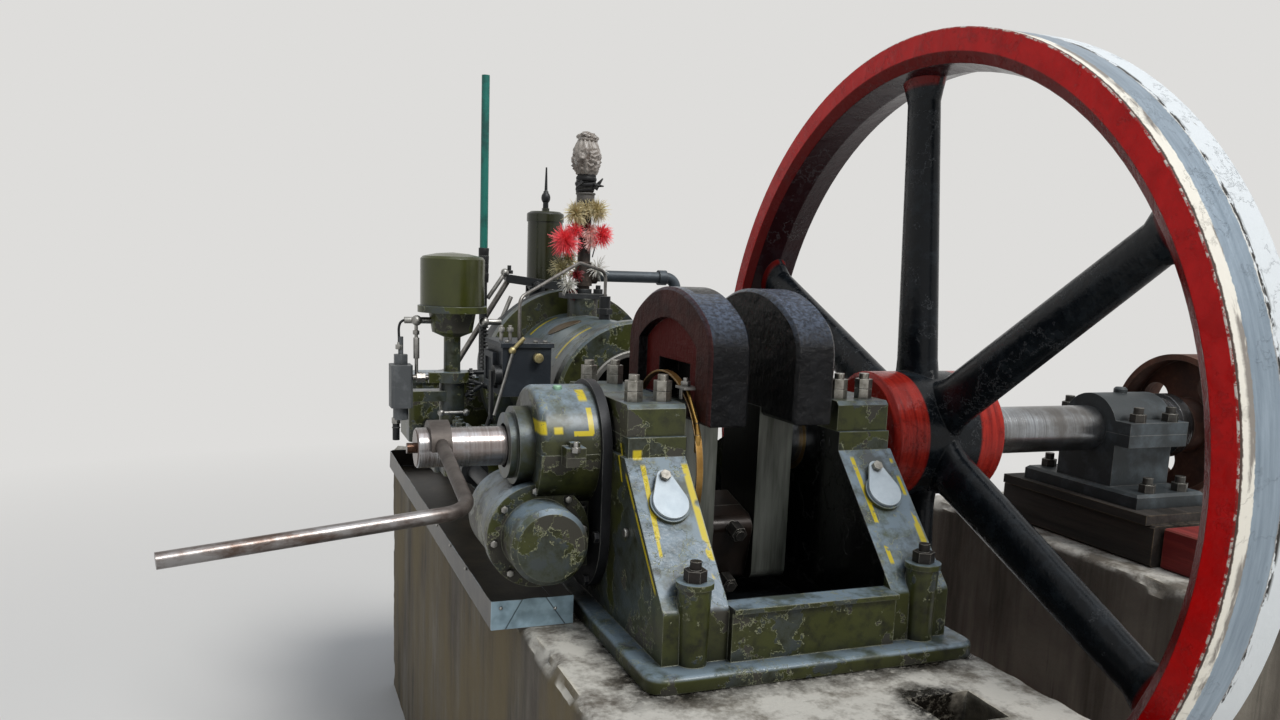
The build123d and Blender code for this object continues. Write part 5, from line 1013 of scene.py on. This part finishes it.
# Filter's lid band and thin rod. Black steel: the band is pressed round the drum's top, and the rod stands
# in a round collar screwed on it.
band = bmesh.new()
hoop(band, spot(0, 1255, 452), (0, 0, 1), 0.0515, 0.0022, 1.6)
fit("filter_band", band, black_iron, "engine", "governor_paint")
mast = bmesh.new()
rod(mast, (0, 1255, 462), (0, 1255, 520), 0.0085, 0.0075, edge=0.002)
ball(mast, spot(0, 1255, 500), 0.0135, 1.3)
bar(mast, spot(0, 1255, 515), spot(0, 1255, 588), 0.0048, 0.0024)
fit("filter_mast", mast, black_iron, "engine", "bolt_steel")

# Stack coupling, rubber tie and the knot of the bag. The pipe's mouth is stopped with a plastic bag over a
# stone, bound on with strips of black inner tube.
coupling = bmesh.new()
rod(coupling, (0, 870, 459), (0, 870, 494), 0.0235, sides=24, edge=0.002)
hoop(coupling, spot(0, 870, 461), (0, 0, 1), 0.0232, 0.0030)
hoop(coupling, spot(0, 870, 492), (0, 0, 1), 0.0232, 0.0030)
fit("stack_coupling", coupling, dark_iron("coupling iron", "4a4744", "6b6763", 0.45), "engine", "pipe_iron")
rubber = bmesh.new()
draw = random.Random(8)
for z in range(500, 540, 6):
    lean = (draw.uniform(-0.22, 0.22), draw.uniform(-0.22, 0.22), 1.0)
    centre = spot(draw.uniform(-2, 2), 870 + draw.uniform(-2, 2), z)
    hoop(rubber, centre, lean, 0.0215 + draw.uniform(-0.0015, 0.003), 0.0040, 1.5)
for root, tip, thick in (((18, 850, 505), (38, 846, 532), 0.008), ((16, 848, 514), (40, 843, 512), 0.006),
                         ((-16, 850, 520), (-34, 846, 505), 0.006)):
    bar(rubber, spot(*root), spot(*tip), thick, 0.0016, sides=4)
fit("stack_tie", rubber, dark_iron("black rubber", "121214", "222225", 0.5), "engine", "wrap_plastic")

bag_material = Finish("dusty bag")
film_and_sheen = bag_material.patches(60.0, 6.0, 0.7, (1.0, 1.0, 0.4))
dust = bag_material.patches(22.0, 5.0, 0.6, shift=3.0)
bag_colour = bag_material.over("b3aaa0", "8b8076", bag_material.between(dust, 0.40, 0.62))
bag_colour = bag_material.over(bag_colour, "e4dfd8", bag_material.between(film_and_sheen, 0.56, 0.70))
# Folds darkened: dust, and painted shade.
bag_colour = bag_material.over(bag_colour, "5c4a44", bag_material.times(bag_material.dirt_and_shade_in_hollows(0.01), 0.6))
bag_material.shader.inputs["Transmission Weight"].default_value = 0.25
bag_skin = bag_material.close(bag_colour, bag_material.level(0.22, 0.5, dust), film_and_sheen, 0.0012)
bag = bmesh.new()
bag_foot, bag_neck = 0.540, 0.627
bmesh.ops.create_cone(bag, cap_ends=False, segments=96, radius1=1.0, radius2=1.0, depth=1.0,
                      matrix=Matrix.Translation((0.0, 0.0, 0.5)))
upright_edges = [e for e in bag.edges if abs(e.verts[0].co.z - e.verts[1].co.z) > 0.5]
bmesh.ops.subdivide_edges(bag, edges=upright_edges, cuts=44, use_grid_fill=True)
for vertex in bag.verts:
    share, angle = vertex.co.z, atan2(vertex.co.y, vertex.co.x)
    swell = 0.023 + 0.0135 * sin(pi * min(1.0, share * 1.04)) ** 0.7
    pleats = 0.0022 * sin(13 * angle + 4 * share) * (1.15 - sin(pi * share))
    crumple = 0.0048 * noise.fractal(Vector((cos(angle) * 2.2, sin(angle) * 2.2, share * 5.5)), 0.7, 2.2, 4)
    ridge = 0.0030 * (1 - abs(noise.noise(Vector((cos(angle) * 3.1, sin(angle) * 3.1, share * 8.0)))) * 4)
    out = swell + pleats + (crumple + ridge) * sin(pi * min(1.0, 0.12 + share))
    height = bag_foot + (bag_neck - bag_foot) * share
    vertex.co = Vector((out * cos(angle), 0.870 + out * sin(angle), crank_z + height))
bag_piece = fit("stack_bag", bag, bag_skin, "engine", "wrap_plastic", "stack_wrap", smooth=60)
knot = bmesh.new()
knot_centre, knot_radius = spot(3, 870, 636), 0.026
bmesh.ops.create_icosphere(knot, subdivisions=4, radius=knot_radius, matrix=Matrix.Translation(knot_centre))
for vertex in knot.verts:
    offset = vertex.co - knot_centre
    grow = 1.0 + 0.35 * noise.fractal(offset * 45, 0.8, 2.1, 4)
    flat = 0.46 * min(grow, 1.15)
    vertex.co = knot_centre + Vector((offset.x * grow, offset.y * grow, offset.z * flat))
hoop(knot, spot(2, 870, 628), (0.1, 0.0, 1.0), 0.0215, 0.0045)
fit("bag_knot", knot, bag_skin, "engine", "wrap_plastic")

# Garland tied round the stack's foot. Frayed tufts of plastic tinsel in coral, cream, pink and dark red,
# worn limp by the weather.
tufts = {
    "cream": ("d8cba0", "b9a778", [(-33, 438, 34, 300), (24, 448, 34, 300), (-4, 452, 26, 150)]),
    "coral": ("ff6a70", "f2424c", [(-60, 368, 42, 480), (38, 386, 32, 380), (-34, 398, 26, 200)]),
    "blush": ("f6d2ca", "f0a79c", [(6, 392, 26, 220), (10, 366, 22, 140)]),
    "dark_red": ("7d0f16", "4d0a10", [(-2, 404, 16, 90), (-35, 232, 16, 110), (-28, 282, 22, 120)]),
    "straw": ("a99f74", "7f7752", [(-69, 300, 32, 260), (-48, 320, 26, 160)]),
    "white": ("e3e1d8", "bdb9ac", [(-50, 256, 30, 110), (30, 300, 34, 60)]),
}
hair = random.Random(21)
for shade, (light, dark, clumps) in tufts.items():
    tinsel = bmesh.new()
    for x, z, reach, count in clumps:
        for _ in range(count):
            outward = Vector((hair.gauss(0, 1), hair.gauss(0, 0.55) - 0.25, hair.gauss(-0.15, 1)))
            outward.normalize()
            root = spot(x, 846, z) + outward * hair.uniform(0.0, 0.3) * reach / 1000
            length = reach / 1000 * hair.uniform(0.45, 1.0)
            tip = root + outward * length
            bend = root + outward * length * 0.55 + Vector((0.0, 0.0, 0.006)) * hair.random()
            bar(tinsel, root, bend, 0.0010, 0.0009, sides=3)
            bar(tinsel, bend, tip, 0.0009, 0.0003, sides=3)
    strip = Finish("tinsel " + shade.replace("_", " "))
    mix = strip.patches(70.0, 4.0, 0.6)
    tone = strip.over(light, dark, strip.between(mix, 0.42, 0.62))
    fit("garland_" + shade, tinsel, strip.close(tone, strip.level(0.35, 0.6, mix)), "engine", "wrap_plastic")
cord_route = [spot(-60, 846, 372), spot(-30, 842, 392), spot(4, 842, 402), spot(38, 846, 388),
              spot(30, 862, 372), spot(22, 866, 330)]
wire("garland_cord", cord_route, 0.0016, black_iron)

# Tape on the breather. Black tape wound in four overlapping bands hides the joint where the teal pipe is
# pushed on the lower one.
tape = bmesh.new()
for z, thick in ((252, 0.0146), (276, 0.0140), (300, 0.0144), (322, 0.0142)):
    rod(tape, (-210, 1135, z), (-209.6, 1135, z + 24), thick, thick + 0.0004)
fit("breather_tape", tape, dark_iron("black tape", "0e0f10", "1c1d1e", 0.45), "engine", "teal_plastic")

# Floor, light and camera. A pale plain floor that fades into an even backdrop, a broad lamp overhead and a
# wide soft sun, and the camera where the photograph was taken from.
floor_size = 30.0
floor_mesh = bmesh.new()
bmesh.ops.create_grid(floor_mesh, x_segments=1, y_segments=1, size=floor_size / 2)
floor_data = bpy.data.meshes.new("floor")
floor_mesh.to_mesh(floor_data)
floor_mesh.free()
floor = bpy.data.objects.new("floor", floor_data)
bpy.context.scene.collection.objects.link(floor)
ground = Finish("pale floor")
ground.close("e2e0dc", 0.9, shine=0.2)
backdrop = tint("dedddb")
far = ground.between(ground.radius(Vector((0.3, 0.2, 0.0)), 0, 1), 2.6, 6.0)
beyond = ground.add("Emission", backdrop)
blend = ground.add("MixShader", far)
ground.put(blend.inputs[1], ground.shader.outputs[0])
ground.put(blend.inputs[2], beyond.outputs[0])
ground.tree.links.new(blend.outputs[0], ground.tree.nodes["Material Output"].inputs["Surface"])
floor_data.materials.append(ground.material)

world = bpy.data.worlds.new("studio")
bpy.context.scene.world = world
world.use_nodes = True
sky = world.node_tree
back = sky.nodes["Background"]
back.inputs["Color"].default_value = (0.84, 0.90, 1.0, 1.0)
back.inputs["Strength"].default_value = 0.30
seen = sky.nodes.new("ShaderNodeBackground")
seen.inputs["Color"].default_value = backdrop
rays = sky.nodes.new("ShaderNodeLightPath")
choose = sky.nodes.new("ShaderNodeMixShader")
shown = rays.outputs["Is Camera Ray"]
for ray in ("Is Glossy Ray", "Is Transmission Ray"):
    either = sky.nodes.new("ShaderNodeMath")
    either.operation = "MAXIMUM"
    sky.links.new(shown, either.inputs[0])
    sky.links.new(rays.outputs[ray], either.inputs[1])
    shown = either.outputs[0]
sky.links.new(shown, choose.inputs[0])
sky.links.new(back.outputs[0], choose.inputs[1])
sky.links.new(seen.outputs[0], choose.inputs[2])
sky.links.new(choose.outputs[0], sky.nodes["World Output"].inputs["Surface"])


def lamp(name, place, aim, size, power, colour):
    """Square soft lamp aimed at a point."""
    light = bpy.data.lights.new(name, "AREA")
    light.size = size
    light.energy = power
    light.color = colour
    holder = bpy.data.objects.new(name, light)
    holder.location = place
    holder.rotation_euler = (Vector(aim) - Vector(place)).to_track_quat("-Z", "Y").to_euler()
    bpy.context.scene.collection.objects.link(holder)


lamp("overhead", (0.6, -1.4, 5.6), (0.2, 0.3, 1.0), 5.0, 105.0, (0.87, 0.93, 1.0))
sun = bpy.data.lights.new("sun", "SUN")
sun.energy = 1.7
sun.angle = radians(22)
sun.color = (1.0, 0.98, 0.95)
sun_holder = bpy.data.objects.new("sun", sun)
sun_holder.rotation_euler = Vector((0.35, -0.75, 1.0)).to_track_quat("Z", "Y").to_euler()
bpy.context.scene.collection.objects.link(sun_holder)

camera_data = bpy.data.cameras.new("camera")
camera_data.sensor_width = 36.0
camera_data.lens = 27.98
camera_data.shift_x = 0.0110
camera_data.shift_y = 0.0490
camera = bpy.data.objects.new("camera", camera_data)
yaw, pitch, roll = radians(20.474), radians(-9.121), radians(2.037)
turn = Matrix.Rotation(-yaw, 4, "Z") @ Matrix.Rotation(pi / 2 + pitch, 4, "X") @ Matrix.Rotation(roll, 4, "Z")
camera.matrix_world = Matrix.Translation((-0.8094, -1.6578, crank_z + 0.3185)) @ turn
bpy.context.scene.collection.objects.link(camera)
bpy.context.scene.camera = camera
bpy.context.scene.view_settings.view_transform = "Standard"
